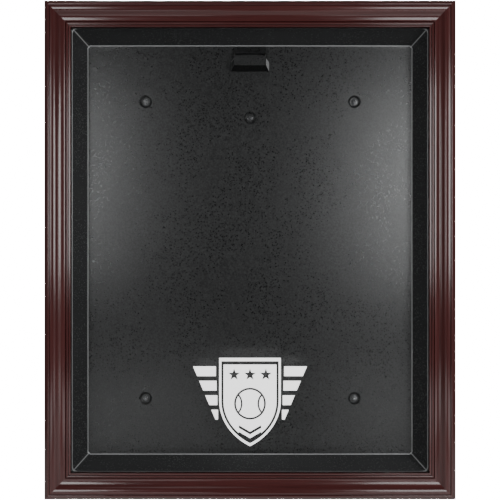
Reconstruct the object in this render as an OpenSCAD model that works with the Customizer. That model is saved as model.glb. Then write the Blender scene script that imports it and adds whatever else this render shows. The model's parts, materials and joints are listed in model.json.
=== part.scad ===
// Jersey display frame: a shallow wall case with a hinged, glazed front door.
// The wall is the plane y = 0, the front faces -Y, +Z is up and the origin is the middle of the back.

/* [Overall size] */
// Width of the door over its mouldings
door_w = 880; // [600:10:1000]
// Height of the door over its mouldings
door_h = 1066.8; // [800:10:1300]
// Thickness of the door moulding at its crest
door_t = 24.4; // [24:0.1:26]
// Depth of the rear case from the wall to its front edge
case_d = 63.5; // [50:0.5:80]
// Gap between the closed door and the case
door_gap = 1.0; // [0.6:0.1:1.5]

/* [Door moulding] */
// Width of the moulding's face, from outer edge to sight edge
face_w = 57; // [57:0.5:58]
// Width of the rabbet that holds the acrylic sheet
glass_rabbet_w = 10; // [8:0.5:10]
// Depth of that rabbet from the door's rear face
glass_rabbet_d = 7; // [6.5:0.1:7]
// Thickness of the acrylic sheet
acrylic_t = 3; // [2:0.5:3]
// Thickness of the stops that hold the sheet in
stop_t = 3.8; // [3:0.1:3.8]

/* [Case] */
// How far the case sits inside the door's outline all round
case_inset = 6.4; // [6.4:0.1:8]
// Thickness of the case sides
side_t = 22; // [20:1:26]
// Width of the rear rabbet for the back board
board_rabbet_w = 7; // [6:0.5:8]
// Thickness of the back board
board_t = 6; // [4:0.5:7]
// Width of the front rabbet for the tray's flange
flange_rabbet_w = 9; // [8:0.5:10]

/* [Tray] */
// Wall thickness of the moulded tray
tray_t = 2; // [1.5:0.1:2.5]
// Depth of the dimples, which is also the air gap behind the tray
dimple_d = 4; // [3:0.5:6]
// Half width of the tray's mouth
mouth_x = 383; // [378:0.5:388]
// Half height of the tray's mouth
mouth_z = 477.5; // [470:0.5:484]
// How far the walls lean in between the mouth and the back panel
draft_in = 18.5; // [10:0.5:24]
// Corner radius of the mouth
mouth_r = 9; // [5:0.5:14]
// Sideways place of the four outer dimples
dimple_x = 234.5; // [180:0.5:300]
// Height above and below the middle of the four outer dimples
dimple_z = 333.5; // [250:0.5:380]
// Height of the single dimple above the middle
top_dimple_z = 297.5; // [200:0.5:310]

/* [Hanger catch] */
// Width of the catch's front face
catch_face_w = 71; // [50:1:90]
// Width of the catch where it meets the back panel
catch_base_w = 87; // [60:1:100]
// How far the catch stands out from the back panel
catch_out = 25; // [18:1:30]
// Width of the slot that takes a hanger's hook, front to back
slot_w = 9; // [6:0.5:10]
// Height of the catch's top edge above the middle
catch_top_z = 428.4; // [400:0.2:436]
// Height of the catch's front face
catch_face_h = 21.4; // [16:0.2:26]

/* [Hinges and catches] */
// Length of each hinge
hinge_l = 64; // [50:1:80]
// Height of the upper and lower hinges from the middle
hinge_z = 390; // [300:5:450]
// Outer radius of the hinge knuckles
knuckle_r = 3; // [2.8:0.1:3]
// Radius of the hinge pins
pin_r = 1.25; // [1:0.05:1.5]
// Running clearance of the pins, on the radius
pin_clear = 0.05; // [0.02:0.01:0.1]
// Thickness of the hinge leaves
leaf_t = 1.2; // [1:0.1:1.4]
// Height of the magnets and their strikes from the middle
magnet_z = 300; // [200:5:420]

/* [Wall hangers] */
// Height of the keyholes' entry holes above the middle
keyhole_z = 432; // [300:1:460]
// Radius of the entry hole
keyhole_r = 4.25; // [4:0.05:4.5]
// Half width of the slot above it
keyhole_slot_r = 2.3; // [2:0.1:2.4]

/* [Hidden] */
$fn = 48;
eps = 0.01;

half_w = door_w / 2;
half_h = door_h / 2;
door_rear = case_d + door_gap;
case_x = half_w - case_inset;
case_z = half_h - case_inset;
sight_x = half_w - face_w;
sight_z = half_h - face_w;

// Back panel of the tray, as distances from the wall
dimple_floor = board_t + tray_t;
panel_rear = board_t + dimple_d;
panel_front = panel_rear + tray_t;

// Hinge axis: its place in plan, with the knuckles just inside the door's outline
axis_x = -case_x - knuckle_r;
axis_y = -door_rear + knuckle_r - leaf_t;
knuckle_gap = 0.3;
leaf_w = 18.6;
hinge_places = [-hinge_z, 0, hinge_z];
hinge_screw_places = [-22, 0, 22];
knuckle_l = (hinge_l - 2 * knuckle_gap) / 3;

// Countersunk screws: head radius, shank radius, length
hinge_screw = [2.2, 1.1, 12];
flange_screw = [2.8, 1.3, 12];
board_screw = [3, 1.4, 18];
strike_screw = [2.2, 1.2, 12];
hanger_screw = [2.4, 1.2, 12];

pin_cap_r = 2.2;
pin_cap_h = 1.2;

magnet_r = 4.5;
magnet_t = 4;
magnet_x = case_x - (side_t - flange_rabbet_w) / 2;
strike_r = 6;
strike_t = 1;

hanger_x = case_x - (side_t - board_rabbet_w) / 2;
hanger_plate_w = 13;
hanger_plate_h = 56;
hanger_plate_t = 1.5;
hanger_slot_l = 16;
hanger_pocket_r = 4.75;
hanger_pocket_d = 9;

// ---------------------------------------------------------------- helpers

// Points on an arc, from one angle to another
function arc(cx, cy, rx, ry, from, to, n) =
    [for (i = [0:n]) [cx + rx * cos(from + (to - from) * i / n), cy + ry * sin(from + (to - from) * i / n)]];

// A plate in the XZ plane: the 2D shape becomes t thick, its rear face at y = -rear
module upright(rear, t) {
    translate([0, -rear, 0])
        rotate([90, 0, 0])
            linear_extrude(t)
                children();
}

// A rectangle with round corners
module round_rect(hx, hz, r) {
    union() {
        square([2 * hx, 2 * (hz - r)], center = true);
        square([2 * (hx - r), 2 * hz], center = true);
        for (sx = [-1, 1], sz = [-1, 1])
            translate([sx * (hx - r), sz * (hz - r)])
                circle(r);
    }
}

// A countersunk screw with its head at the origin, its point towards -Z
module flat_screw(size) {
    head_h = size[0] - size[1];
    difference() {
        union() {
            translate([0, 0, -head_h])
                cylinder(h = head_h, r1 = size[1], r2 = size[0]);
            translate([0, 0, -size[2]])
                cylinder(h = size[2] - head_h + eps, r = size[1]);
        }
        cross_recess(size[0] * 1.1, head_h * 0.6);
    }
}

// The hole that a countersunk screw fills, reaching a little above its head
module flat_screw_hole(size) {
    head_h = size[0] - size[1];
    translate([0, 0, -head_h])
        cylinder(h = head_h, r1 = size[1], r2 = size[0]);
    translate([0, 0, -eps])
        cylinder(h = 1, r = size[0]);
    translate([0, 0, -size[2]])
        cylinder(h = size[2], r = size[1]);
}

// The cross that a driver fits
module cross_recess(width, depth) {
    for (turn = [0, 90])
        rotate([0, 0, turn])
            translate([0, 0, 0.5 - depth / 2])
                cube([width, width / 4, depth + 1], center = true);
}

// A screw's direction: it is driven from the front, from the back or from the left
module from_front() { rotate([90, 0, 0]) children(); }
module from_back() { rotate([-90, 0, 0]) children(); }
module from_left() { rotate([0, -90, 0]) children(); }

// ---------------------------------------------------------------- door

// The moulding's section: u runs in from the outer edge, h up from the rear face
crest_r = 2.4;
crest_u = 13.2;
ogee_r = 13.7;
ogee_u = 19;
ogee_top = door_t - 0.8;
turn_u = ogee_u + ogee_r * sin(50);
turn_h = ogee_top - ogee_r * (1 - cos(50));
cove_r = 18.9;
bead_r = 2.6;
bead_u = 49.8;
bead_h = 10.8;
lip_h = 12;
moulding_section = concat(
    [[0, 0], [0, 7]],
    arc(24, 7, 24, 16, 175, 125, 8),
    [[crest_u - crest_r, 20.4]],
    arc(crest_u, door_t - crest_r, crest_r, crest_r, 180, 0, 12),
    [[16.2, 22]],
    arc(ogee_u, ogee_top - ogee_r, ogee_r, ogee_r, 99, 40, 14),
    arc(turn_u + cove_r * sin(50), turn_h + cove_r * cos(50), cove_r, cove_r, 222, 275, 14),
    [[46.6, 10.6]],
    arc(bead_u, bead_h, bead_r, bead_r, 175, 5, 12),
    [[52.9, 10.9], [53.3, lip_h]],
    arc(face_w - 1, lip_h - 1, 1, 1, 90, 0, 5),
    [[face_w, glass_rabbet_d], [face_w - glass_rabbet_w, glass_rabbet_d], [face_w - glass_rabbet_w, 0]]
);

// One mitred length along X, its outer edge at z = half
module moulding(span, half) {
    intersection() {
        rotate([90, 0, 90])
            translate([0, 0, -span / 2])
                linear_extrude(span)
                    polygon([for (p = moulding_section) [-door_rear - p[1], half - p[0]]]);
        upright(door_rear - 1, door_t + 2)
            mitred_outline(span, half, face_w);
    }
}

// A length with 45 degree ends, seen from the front
module mitred_outline(span, half, width) {
    polygon([
        [-span / 2, half],
        [span / 2, half],
        [span / 2 - width, half - width],
        [-span / 2 + width, half - width]
    ]);
}

// Two bent steel nails across each mitre, pressed in from the rear
module corner_nail_shapes() {
    nail_d = 9;
    nail_t = 0.8;
    half_l = 8;
    apart = 2.4;
    bend = 25;
    for (sx = [-1, 1], sz = [-1, 1], in = [14, 34])
        translate([sx * (half_w - in), 0, sz * (half_h - in)])
            rotate([0, sx * sz * 45, 0])
                upright(door_rear, nail_d)
                    for (side = [-1, 1])
                        translate([side * apart, 0])
                            rotate(side * bend)
                                square([nail_t, half_l], center = true);
}

// The recesses in the left stile for the hinges
module hinge_mortises() {
    leaf_gap = 0.2;
    knuckle_room = 0.3;
    deeper = 0.4;
    cap_reach = hinge_l / 2 + pin_cap_h + knuckle_room;
    outside = 6;
    for (z = hinge_places)
        translate([axis_x - outside, -door_rear - leaf_t, z]) {
            translate([0, 0, -hinge_l / 2 - leaf_gap])
                cube([outside + leaf_w + leaf_gap, leaf_t + 1, hinge_l + 2 * leaf_gap]);
            translate([0, -deeper, -cap_reach])
                cube([outside + knuckle_r + knuckle_room, leaf_t + 1, 2 * cap_reach]);
        }
}

// The recesses in the right stile for the steel strikes
module strike_mortises() {
    for (sz = [-1, 1])
        translate([magnet_x, -door_rear, sz * magnet_z])
            from_back() {
                translate([0, 0, -strike_t])
                    cylinder(h = strike_t + 1, r = strike_r + 0.1);
                flat_screw_hole(strike_screw);
            }
}

// The holes for the pins that hold the glazing stops
stop_w = glass_rabbet_w - 0.5;
stop_pin_r = 0.8;
module stop_pin_places() {
    for (sz = [-1, 1], x = [-300, -100, 100, 300])
        translate([x, -door_rear - 0.2, sz * (sight_z + stop_w / 2)])
            children();
    for (sx = [-1, 1], z = [-400, -200, 0, 200, 400])
        translate([sx * (sight_x + stop_w / 2), -door_rear - 0.2, z])
            children();
}

module glazing_stop_pins() {
    color("silver")
        stop_pin_places()
            from_back()
                translate([0, 0, -(stop_t - 0.2)])
                    cylinder(h = stop_t - 0.2, r = stop_pin_r);
}

module door_rail_top() {
    color("#3d1c1e")
        difference() {
            moulding(door_w, half_h);
            corner_nail_shapes();
        }
}

module door_rail_bottom() {
    color("#3d1c1e")
        difference() {
            rotate([0, 180, 0])
                moulding(door_w, half_h);
            corner_nail_shapes();
        }
}

module door_stile_left() {
    color("#3d1c1e")
        difference() {
            rotate([0, -90, 0])
                moulding(door_h, half_w);
            corner_nail_shapes();
            hinge_mortises();
            door_leaf_screw_places()
                flat_screw_hole(hinge_screw);
        }
}

module door_stile_right() {
    color("#3d1c1e")
        difference() {
            rotate([0, 90, 0])
                moulding(door_h, half_w);
            corner_nail_shapes();
            strike_mortises();
        }
}

module door_corner_nails() {
    color("silver")
        corner_nail_shapes();
}

module acrylic_panel() {
    color([0.85, 0.9, 0.92, 0.3])
        upright(door_rear + glass_rabbet_d - acrylic_t, acrylic_t)
            square([2 * (sight_x + stop_w), 2 * (sight_z + stop_w)], center = true);
}

// One stop along X, its outer edge against the rabbet's wall
module glazing_stop(span, half) {
    difference() {
        upright(door_rear + 0.1, stop_t)
            mitred_outline(span, half, stop_w - 0.4);
        stop_pin_places()
            from_back()
                translate([0, 0, -stop_t - 1])
                    cylinder(h = stop_t + 2, r = stop_pin_r);
    }
}

module glazing_stop_top() {
    color("#24201f")
        glazing_stop(2 * (sight_x + stop_w), sight_z + stop_w);
}

module glazing_stop_bottom() {
    color("#24201f")
        rotate([0, 180, 0])
            glazing_stop(2 * (sight_x + stop_w), sight_z + stop_w);
}

// The side stops are cut from their own outline, so that their pin holes stay in place
module side_stop(side) {
    difference() {
        rotate([0, side * 90, 0])
            upright(door_rear + 0.1, stop_t)
                mitred_outline(2 * (sight_z + stop_w), sight_x + stop_w, stop_w - 0.4);
        stop_pin_places()
            from_back()
                translate([0, 0, -stop_t - 1])
                    cylinder(h = stop_t + 2, r = stop_pin_r);
    }
}

module glazing_stop_left() { color("#24201f") side_stop(-1); }
module glazing_stop_right() { color("#24201f") side_stop(1); }

// A plain shield with a ball and bars at its sides, cut from thin white film on the sheet's front face
emblem_z = -333;
emblem_half_w = 122;
emblem_half_h = 102;
shield_half_w = 66;
ball_r = 34;
film_t = 0.15;
module emblem_print() {
    color("white")
        upright(door_rear + glass_rabbet_d, film_t)
            translate([0, emblem_z]) {
                difference() {
                    shield(1);
                    ring_between(0.93, 0.86);
                    translate([0, 4])
                        ball_lines();
                    for (x = [-34, 0, 34])
                        translate([x, 66])
                            polygon(star_points(13, 5.4));
                    for (z = [-48, -62])
                        chevron(z);
                }
                for (side = [-1, 1], row = [0:3])
                    side_bar(side, row);
            }
}

module shield(scale) {
    w = shield_half_w * scale;
    h = emblem_half_h * scale;
    polygon(concat(
        [[-w, h], [w, h]],
        arc(-w, h * 0.1, 2 * w, 1.1 * h, 0, -60, 12),
        arc(w, h * 0.1, 2 * w, 1.1 * h, 240, 180, 12)
    ));
}

// The dark line that runs inside the shield's edge
module ring_between(outer, inner) {
    difference() {
        shield(outer);
        shield(inner);
    }
}

// The ball's outline and its two seams
module ball_lines() {
    difference() {
        circle(ball_r);
        circle(ball_r - 4);
    }
    intersection() {
        circle(ball_r);
        for (side = [-1, 1])
            translate([side * 46, 0])
                difference() {
                    circle(30);
                    circle(26.5);
                }
    }
}

// A dark V line low on the shield
module chevron(z) {
    polygon([[-24, z], [0, z - 14], [24, z], [24, z + 6], [0, z - 8], [-24, z + 6]]);
}

// One of the bars that step in towards the shield's foot
module side_bar(side, row) {
    top = 84 - row * 31;
    reach = emblem_half_w - row * 13;
    start = shield_half_w + 7 - row * 1.5;
    polygon([
        [side * start, top],
        [side * reach, top],
        [side * (reach - 9), top - 21],
        [side * start, top - 21]
    ]);
}

function star_points(outer, inner) =
    [for (i = [0:9]) let (r = i % 2 == 0 ? outer : inner) [r * sin(36 * i), r * cos(36 * i)]];

// ---------------------------------------------------------------- hinges

// Screw places on the leaf that is let into the door's rear face
module door_leaf_screw_places() {
    for (z = hinge_places, dz = hinge_screw_places)
        translate([axis_x + 12.6, -door_rear, z + dz])
            from_back()
                children();
}

// Screw places on the leaf that lies on the case's outer face
module case_leaf_screw_places() {
    for (z = hinge_places, dz = hinge_screw_places)
        translate([-case_x - leaf_t, axis_y + 12.6, z + dz])
            from_left()
                children();
}

module knuckle(z0, length, bore_r) {
    translate([axis_x, axis_y, z0])
        difference() {
            cylinder(h = length, r = knuckle_r);
            translate([0, 0, -1])
                cylinder(h = length + 2, r = bore_r);
        }
}

// The leaf is cut back where the other leaf's knuckles turn
module hinge_door_leaves() {
    reach = knuckle_r + 0.3;
    color("#8a7a5a")
        difference() {
            for (z = hinge_places)
                translate([0, 0, z]) {
                    difference() {
                        translate([axis_x, -door_rear - leaf_t, -hinge_l / 2])
                            cube([leaf_w, leaf_t, hinge_l]);
                        translate([axis_x, axis_y, -knuckle_l / 2])
                            cylinder(h = knuckle_l, r = knuckle_r - 0.2);
                        for (side = [-1, 1])
                            translate([axis_x - 1, -door_rear - leaf_t - 1, side * (hinge_l + knuckle_l) / 4])
                                translate([0, 0, side * knuckle_gap - (hinge_l - knuckle_l) / 4])
                                    cube([reach + 1, leaf_t + 2, (hinge_l - knuckle_l) / 2]);
                    }
                    knuckle(-knuckle_l / 2, knuckle_l, pin_r + pin_clear);
                }
            door_leaf_screw_places()
                flat_screw_hole(hinge_screw);
        }
}

module hinge_case_leaves() {
    reach = knuckle_r + 0.3;
    end_l = (hinge_l - knuckle_l) / 2 - knuckle_gap;
    color("#8a7a5a")
        difference() {
            for (z = hinge_places)
                translate([0, 0, z]) {
                    difference() {
                        translate([-case_x - leaf_t, axis_y, -hinge_l / 2])
                            cube([leaf_t, leaf_w, hinge_l]);
                        translate([axis_x, axis_y, -hinge_l / 2 - 1])
                            cylinder(h = hinge_l + 2, r = knuckle_r - 0.2);
                        translate([-case_x - leaf_t - 1, axis_y - 1, -knuckle_l / 2 - knuckle_gap])
                            cube([leaf_t + 2, reach + 1, knuckle_l + 2 * knuckle_gap]);
                    }
                    for (start = [-hinge_l / 2, hinge_l / 2 - end_l])
                        knuckle(start, end_l, pin_r + 0.01);
                }
            case_leaf_screw_places()
                flat_screw_hole(hinge_screw);
        }
}

module hinge_pins() {
    color("#8a7a5a")
        for (z = hinge_places)
            translate([axis_x, axis_y, z]) {
                translate([0, 0, -hinge_l / 2 - pin_cap_h])
                    cylinder(h = hinge_l + 2 * pin_cap_h, r = pin_r);
                for (start = [-hinge_l / 2 - pin_cap_h, hinge_l / 2])
                    translate([0, 0, start])
                        cylinder(h = pin_cap_h, r = pin_cap_r);
            }
}

module hinge_door_screws() {
    color("#8a7a5a")
        door_leaf_screw_places()
            flat_screw(hinge_screw);
}

module hinge_case_screws() {
    color("#8a7a5a")
        case_leaf_screw_places()
            flat_screw(hinge_screw);
}

// ---------------------------------------------------------------- magnetic catches

module catch_strikes() {
    color("silver")
        difference() {
            for (sz = [-1, 1])
                translate([magnet_x, -door_rear, sz * magnet_z])
                    from_back()
                        translate([0, 0, -strike_t])
                            cylinder(h = strike_t, r = strike_r);
            strike_screw_places()
                flat_screw_hole(strike_screw);
        }
}

module strike_screw_places() {
    for (sz = [-1, 1])
        translate([magnet_x, -door_rear, sz * magnet_z])
            from_back()
                children();
}

module catch_strike_screws() {
    color("silver")
        strike_screw_places()
            flat_screw(strike_screw);
}

module magnet_places() {
    for (sz = [-1, 1])
        translate([magnet_x, -case_d, sz * magnet_z])
            rotate([-90, 0, 0])
                children();
}

module catch_magnets() {
    color("gray")
        magnet_places()
            cylinder(h = magnet_t, r = magnet_r);
}

// Soft dots that the closed door rests near
bumper_r = 4;
module door_bumpers() {
    color([0.8, 0.8, 0.78, 0.6])
        for (sx = [-1, 1], sz = [-1, 1])
            translate([sx * magnet_x, -case_d, sz * (case_z - 16)])
                from_front()
                    cylinder(h = door_gap - 0.1, r = bumper_r);
}

// ---------------------------------------------------------------- case

// One mitred side of the case along X, rabbeted at the front and at the rear
module case_side(span, half) {
    difference() {
        upright(0, case_d)
            mitred_outline(span, half, side_t);
        upright(-1, board_t + 1)
            square([2 * span, 2 * (half - side_t + board_rabbet_w)], center = true);
        upright(case_d - tray_t, tray_t + 1)
            square([2 * span, 2 * (half - side_t + flange_rabbet_w)], center = true);
    }
}

// All that is bored or routed into the four sides
module case_cuts() {
    case_corner_nail_places()
        translate([0, 0, -case_nail_l])
            cylinder(h = case_nail_l + 1, r = case_nail_r);
    board_screw_places()
        flat_screw_hole(board_screw);
    flange_screw_places()
        flat_screw_hole(flange_screw);
    case_leaf_screw_places()
        flat_screw_hole(hinge_screw);
    magnet_places()
        translate([0, 0, -1])
            cylinder(h = magnet_t + 1, r = magnet_r);
    hanger_places() {
        translate([0, -hanger_plate_t, 0])
            hanger_pocket();
        upright(-1, hanger_plate_t + 1)
            translate([0, 8])
                square([hanger_plate_w + 0.2, hanger_plate_h + 0.2], center = true);
        hanger_screw_places()
            flat_screw_hole(hanger_screw);
    }
}

module case_rail_top() {
    color("#3d1c1e")
        difference() {
            case_side(2 * case_x, case_z);
            case_cuts();
        }
}

module case_rail_bottom() {
    color("#3d1c1e")
        difference() {
            rotate([0, 180, 0])
                case_side(2 * case_x, case_z);
            case_cuts();
        }
}

module case_side_left() {
    color("#3d1c1e")
        difference() {
            rotate([0, -90, 0])
                case_side(2 * case_z, case_x);
            case_cuts();
        }
}

module case_side_right() {
    color("#3d1c1e")
        difference() {
            rotate([0, 90, 0])
                case_side(2 * case_z, case_x);
            case_cuts();
        }
}

// Two nails at each corner, driven through the side into the end of the rail
case_nail_l = 40;
case_nail_r = 1;
module case_corner_nail_places() {
    for (sx = [-1, 1], sz = [-1, 1], y = [18, 45])
        translate([sx * case_x, -y, sz * (case_z - 8)])
            rotate([0, sx * 90, 0])
                children();
}

module case_corner_nails() {
    color("silver")
        case_corner_nail_places()
            translate([0, 0, -case_nail_l])
                cylinder(h = case_nail_l - 0.5, r = case_nail_r);
}

// ---------------------------------------------------------------- tray

module dimple_places() {
    for (sx = [-1, 1], sz = [-1, 1])
        translate([sx * dimple_x, 0, sz * dimple_z])
            children();
    translate([0, 0, top_dimple_z])
        children();
}

// The space inside the tray, grown by the wall where its outside is wanted
module tray_body(front, rear, grow) {
    hull() {
        upright(front - 0.1, 0.1)
            round_rect(mouth_x + grow, mouth_z + grow, mouth_r + grow, $fn = 32);
        upright(rear, 0.1)
            round_rect(mouth_x - draft_in + grow, mouth_z - draft_in + grow, mouth_r - 3 + grow, $fn = 32);
    }
}

// The catch: a shelf on the back panel with a tongue in front of a slot for a hanger's hook
tongue_t = 4;
slot_rear = panel_front + catch_out - tongue_t - slot_w;
catch_low_z = catch_top_z - catch_face_h;
slot_floor_z = catch_low_z + 3;
ramp_low_z = catch_top_z + 10.5;
ramp_top_z = mouth_z - draft_in;
module hanger_catch() {
    difference() {
        union() {
            hull() {
                upright(panel_front + catch_out - 1, 1)
                    tongue_outline(catch_face_w / 2, catch_low_z, catch_top_z, 9);
                upright(panel_front + catch_out - tongue_t, 1)
                    tongue_outline(catch_face_w / 2 + 1, catch_low_z - 1, catch_top_z, 9);
                upright(panel_rear, 1)
                    tongue_outline(catch_base_w / 2, catch_low_z - 6.7, catch_top_z, 9);
            }
            hull() {
                upright(slot_rear - 1, 1)
                    translate([-catch_face_w / 2, slot_floor_z])
                        square([catch_face_w, ramp_low_z - slot_floor_z]);
                upright(panel_rear, 1)
                    translate([-catch_face_w / 2, slot_floor_z])
                        square([catch_face_w, ramp_top_z - slot_floor_z]);
            }
        }
        translate([-catch_face_w / 2 + 2, -slot_rear - slot_w, slot_floor_z])
            cube([catch_face_w - 4, slot_w, 40]);
    }
}

module tongue_outline(half, low, high, r) {
    union() {
        translate([-half, low])
            square([2 * half, high - low - r]);
        translate([-half + r, high - r - 1])
            square([2 * (half - r), r + 1]);
        for (side = [-1, 1])
            translate([side * (half - r), high - r])
                circle(r, $fn = 32);
    }
}

module tray() {
    color("#262626")
        difference() {
            union() {
                difference() {
                    union() {
                        upright(case_d - tray_t, tray_t)
                            square([2 * (case_x - side_t + flange_rabbet_w - 0.3),
                                2 * (case_z - side_t + flange_rabbet_w - 0.3)], center = true);
                        tray_body(case_d, panel_rear, tray_t);
                    }
                    tray_body(case_d + 0.2, panel_front, 0);
                }
                dimple_places()
                    translate([0, -board_t, 0])
                        from_front()
                            cylinder(h = panel_front - board_t - 0.5, r1 = 12, r2 = 14.5);
                hanger_catch();
            }
            dimple_places() {
                translate([0, -dimple_floor, 0])
                    from_front()
                        cylinder(h = dimple_d + 1, r1 = 10, r2 = 10 + 3 * (dimple_d + 1) / dimple_d);
                translate([0, 1, 0])
                    from_front()
                        cylinder(h = dimple_floor + 2, r = tray_screw_r + 0.2);
            }
            flange_screw_places()
                flat_screw_hole(flange_screw);
        }
}

// Flat-headed screws through the flange into the front rabbet
module flange_screw_places() {
    in = side_t - flange_rabbet_w / 2;
    for (sx = [-1, 1], z = [-455, -195, 130, 455])
        translate([sx * (case_x - in), -case_d, z])
            from_front()
                children();
    for (sz = [-1, 1], x = [-330, 0, 330])
        translate([x, -case_d, sz * (case_z - in)])
            from_front()
                children();
}

module tray_flange_screws() {
    color("#303030")
        flange_screw_places()
            flat_screw(flange_screw);
}

// Pan-headed screws with broad flanges, in the dimples
tray_screw_r = 2;
module tray_screws() {
    washer_r = 6.5;
    washer_h = 0.9;
    pan_r = 5.2;
    pan_h = 1.4;
    color("#5a5a5a")
        dimple_places()
            translate([0, -dimple_floor, 0])
                from_front()
                    difference() {
                        union() {
                            cylinder(h = washer_h, r = washer_r);
                            translate([0, 0, washer_h - eps])
                                cylinder(h = pan_h, r1 = pan_r, r2 = 0.7 * pan_r);
                            translate([0, 0, -tray_t - board_t + 0.5])
                                cylinder(h = tray_t + board_t, r = tray_screw_r);
                        }
                        translate([0, 0, washer_h + pan_h])
                            cross_recess(pan_r, pan_h);
                    }
}

// ---------------------------------------------------------------- back

module back_board() {
    color("#6d5a45")
        difference() {
            upright(0, board_t)
                square([2 * (case_x - side_t + board_rabbet_w - 0.3),
                    2 * (case_z - side_t + board_rabbet_w - 0.3)], center = true);
            board_screw_places()
                flat_screw_hole(board_screw);
            dimple_places()
                translate([0, 1, 0])
                    from_front()
                        cylinder(h = board_t + 2, r = tray_screw_r);
        }
}

module board_screw_places() {
    in = side_t - board_rabbet_w / 2;
    for (sx = [-1, 1], z = [-440, -220, 0, 220, 375])
        translate([sx * (case_x - in), 0, z])
            from_back()
                children();
    for (sz = [-1, 1], x = [-360, -120, 120, 360])
        translate([x, 0, sz * (case_z - in)])
            from_back()
                children();
}

module back_board_screws() {
    color("silver")
        board_screw_places()
            flat_screw(board_screw);
}

// ---------------------------------------------------------------- wall hangers

module hanger_places() {
    for (sx = [-1, 1])
        translate([sx * hanger_x, 0, keyhole_z])
            children();
}

// Routed space behind the plate, for the head of the screw in the wall
module hanger_pocket() {
    for (up = [0, hanger_slot_l])
        translate([0, 0.5, up])
            from_front()
                cylinder(h = hanger_pocket_d + 0.5, r = hanger_pocket_r);
    translate([-hanger_pocket_r, -hanger_pocket_d, 0])
        cube([2 * hanger_pocket_r, hanger_pocket_d + 0.5, hanger_slot_l]);
}

module hanger_screw_places() {
    for (z = [-15.5, 31.5])
        translate([0, 0, z])
            from_back()
                children();
}

module hanger_plates() {
    color("silver")
        hanger_places()
            difference() {
                upright(0, hanger_plate_t)
                    translate([0, 8])
                        square([hanger_plate_w, hanger_plate_h], center = true);
                translate([0, 1, 0])
                    from_front()
                        cylinder(h = hanger_plate_t + 2, r = keyhole_r);
                translate([0, 1, hanger_slot_l])
                    from_front()
                        cylinder(h = hanger_plate_t + 2, r = keyhole_slot_r);
                translate([-keyhole_slot_r, -hanger_plate_t - 1, 0])
                    cube([2 * keyhole_slot_r, hanger_plate_t + 2, hanger_slot_l]);
                hanger_screw_places()
                    flat_screw_hole(hanger_screw);
            }
}

module hanger_plate_screws() {
    color("silver")
        hanger_places()
            hanger_screw_places()
                flat_screw(hanger_screw);
}

// ---------------------------------------------------------------- assembly

door_rail_top();
door_rail_bottom();
door_stile_left();
door_stile_right();
door_corner_nails();
acrylic_panel();
glazing_stop_top();
glazing_stop_bottom();
glazing_stop_left();
glazing_stop_right();
glazing_stop_pins();
emblem_print();
hinge_door_leaves();
hinge_door_screws();
catch_strikes();
catch_strike_screws();
case_rail_top();
case_rail_bottom();
case_side_left();
case_side_right();
case_corner_nails();
tray();
tray_flange_screws();
tray_screws();
back_board();
back_board_screws();
hinge_case_leaves();
hinge_case_screws();
hinge_pins();
catch_magnets();
door_bumpers();
hanger_plates();
hanger_plate_screws();
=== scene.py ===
"""Looks for the jersey display frame: moulded wood, black moulded tray, clear sheet and small metalwork."""

import json
import logging
import math
from abc import ABC, abstractmethod
from collections.abc import Callable, Iterator, Sequence
from contextlib import contextmanager
from dataclasses import dataclass, field
from enum import Enum

import bmesh
import bpy
from mathutils import Matrix, Vector

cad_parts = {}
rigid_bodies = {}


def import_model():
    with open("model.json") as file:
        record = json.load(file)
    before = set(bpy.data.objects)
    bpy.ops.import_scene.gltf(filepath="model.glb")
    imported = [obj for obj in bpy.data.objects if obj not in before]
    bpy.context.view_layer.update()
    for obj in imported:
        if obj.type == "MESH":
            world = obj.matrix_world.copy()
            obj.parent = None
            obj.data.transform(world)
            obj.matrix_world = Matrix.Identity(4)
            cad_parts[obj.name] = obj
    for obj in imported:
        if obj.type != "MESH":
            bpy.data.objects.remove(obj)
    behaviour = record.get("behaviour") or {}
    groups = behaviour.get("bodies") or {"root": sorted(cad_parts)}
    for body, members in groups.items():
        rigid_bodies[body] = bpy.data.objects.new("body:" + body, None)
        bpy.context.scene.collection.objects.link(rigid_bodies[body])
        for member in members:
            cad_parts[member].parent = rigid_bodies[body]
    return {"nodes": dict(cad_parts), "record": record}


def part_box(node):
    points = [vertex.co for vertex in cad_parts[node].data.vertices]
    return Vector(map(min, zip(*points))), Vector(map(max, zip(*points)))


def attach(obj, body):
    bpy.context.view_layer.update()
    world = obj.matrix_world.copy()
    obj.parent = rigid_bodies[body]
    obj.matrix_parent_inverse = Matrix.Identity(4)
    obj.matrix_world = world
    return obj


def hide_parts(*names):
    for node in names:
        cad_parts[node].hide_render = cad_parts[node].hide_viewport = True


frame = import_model()

MM = 0.001
# Face mark: where the tray sheet was stretched, and also where painted light and painted highlights go.
STRETCH_AND_PAINTED_LIGHT = "stretch"
log = logging.getLogger("jersey_frame")


class Body(Enum):
    """The rigid bodies that pieces ride on."""

    CASE = "case"
    DOOR = "door"


class Grain(Enum):
    """The direction in which wood grain runs."""

    ACROSS = (1, 0, 0)
    UPRIGHT = (0, 0, 1)


class Pick(Enum):
    """The kind of mesh element that a selection takes."""

    VERTS = "verts"
    EDGES = "edges"
    FACES = "faces"


# ---------------------------------------------------------------- modelling helpers


def only(obj: bpy.types.Object) -> None:
    """Makes obj the one selected and active object.

    Args:
        obj: the object to work on.
    """
    if bpy.context.object and bpy.context.object.mode != "OBJECT":
        bpy.ops.object.mode_set(mode="OBJECT")
    bpy.ops.object.select_all(action="DESELECT")
    obj.select_set(True)
    bpy.context.view_layer.objects.active = obj


@contextmanager
def editing(obj: bpy.types.Object) -> Iterator[bpy.types.Object]:
    """Edit mode on one object, with nothing selected at the start.

    Args:
        obj: the object to edit.

    Yields:
        The same object.
    """
    only(obj)
    bpy.ops.object.mode_set(mode="EDIT")
    bpy.ops.mesh.select_mode(type="VERT")
    bpy.ops.mesh.select_all(action="DESELECT")
    try:
        yield obj
    finally:
        bpy.ops.object.mode_set(mode="OBJECT")


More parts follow.
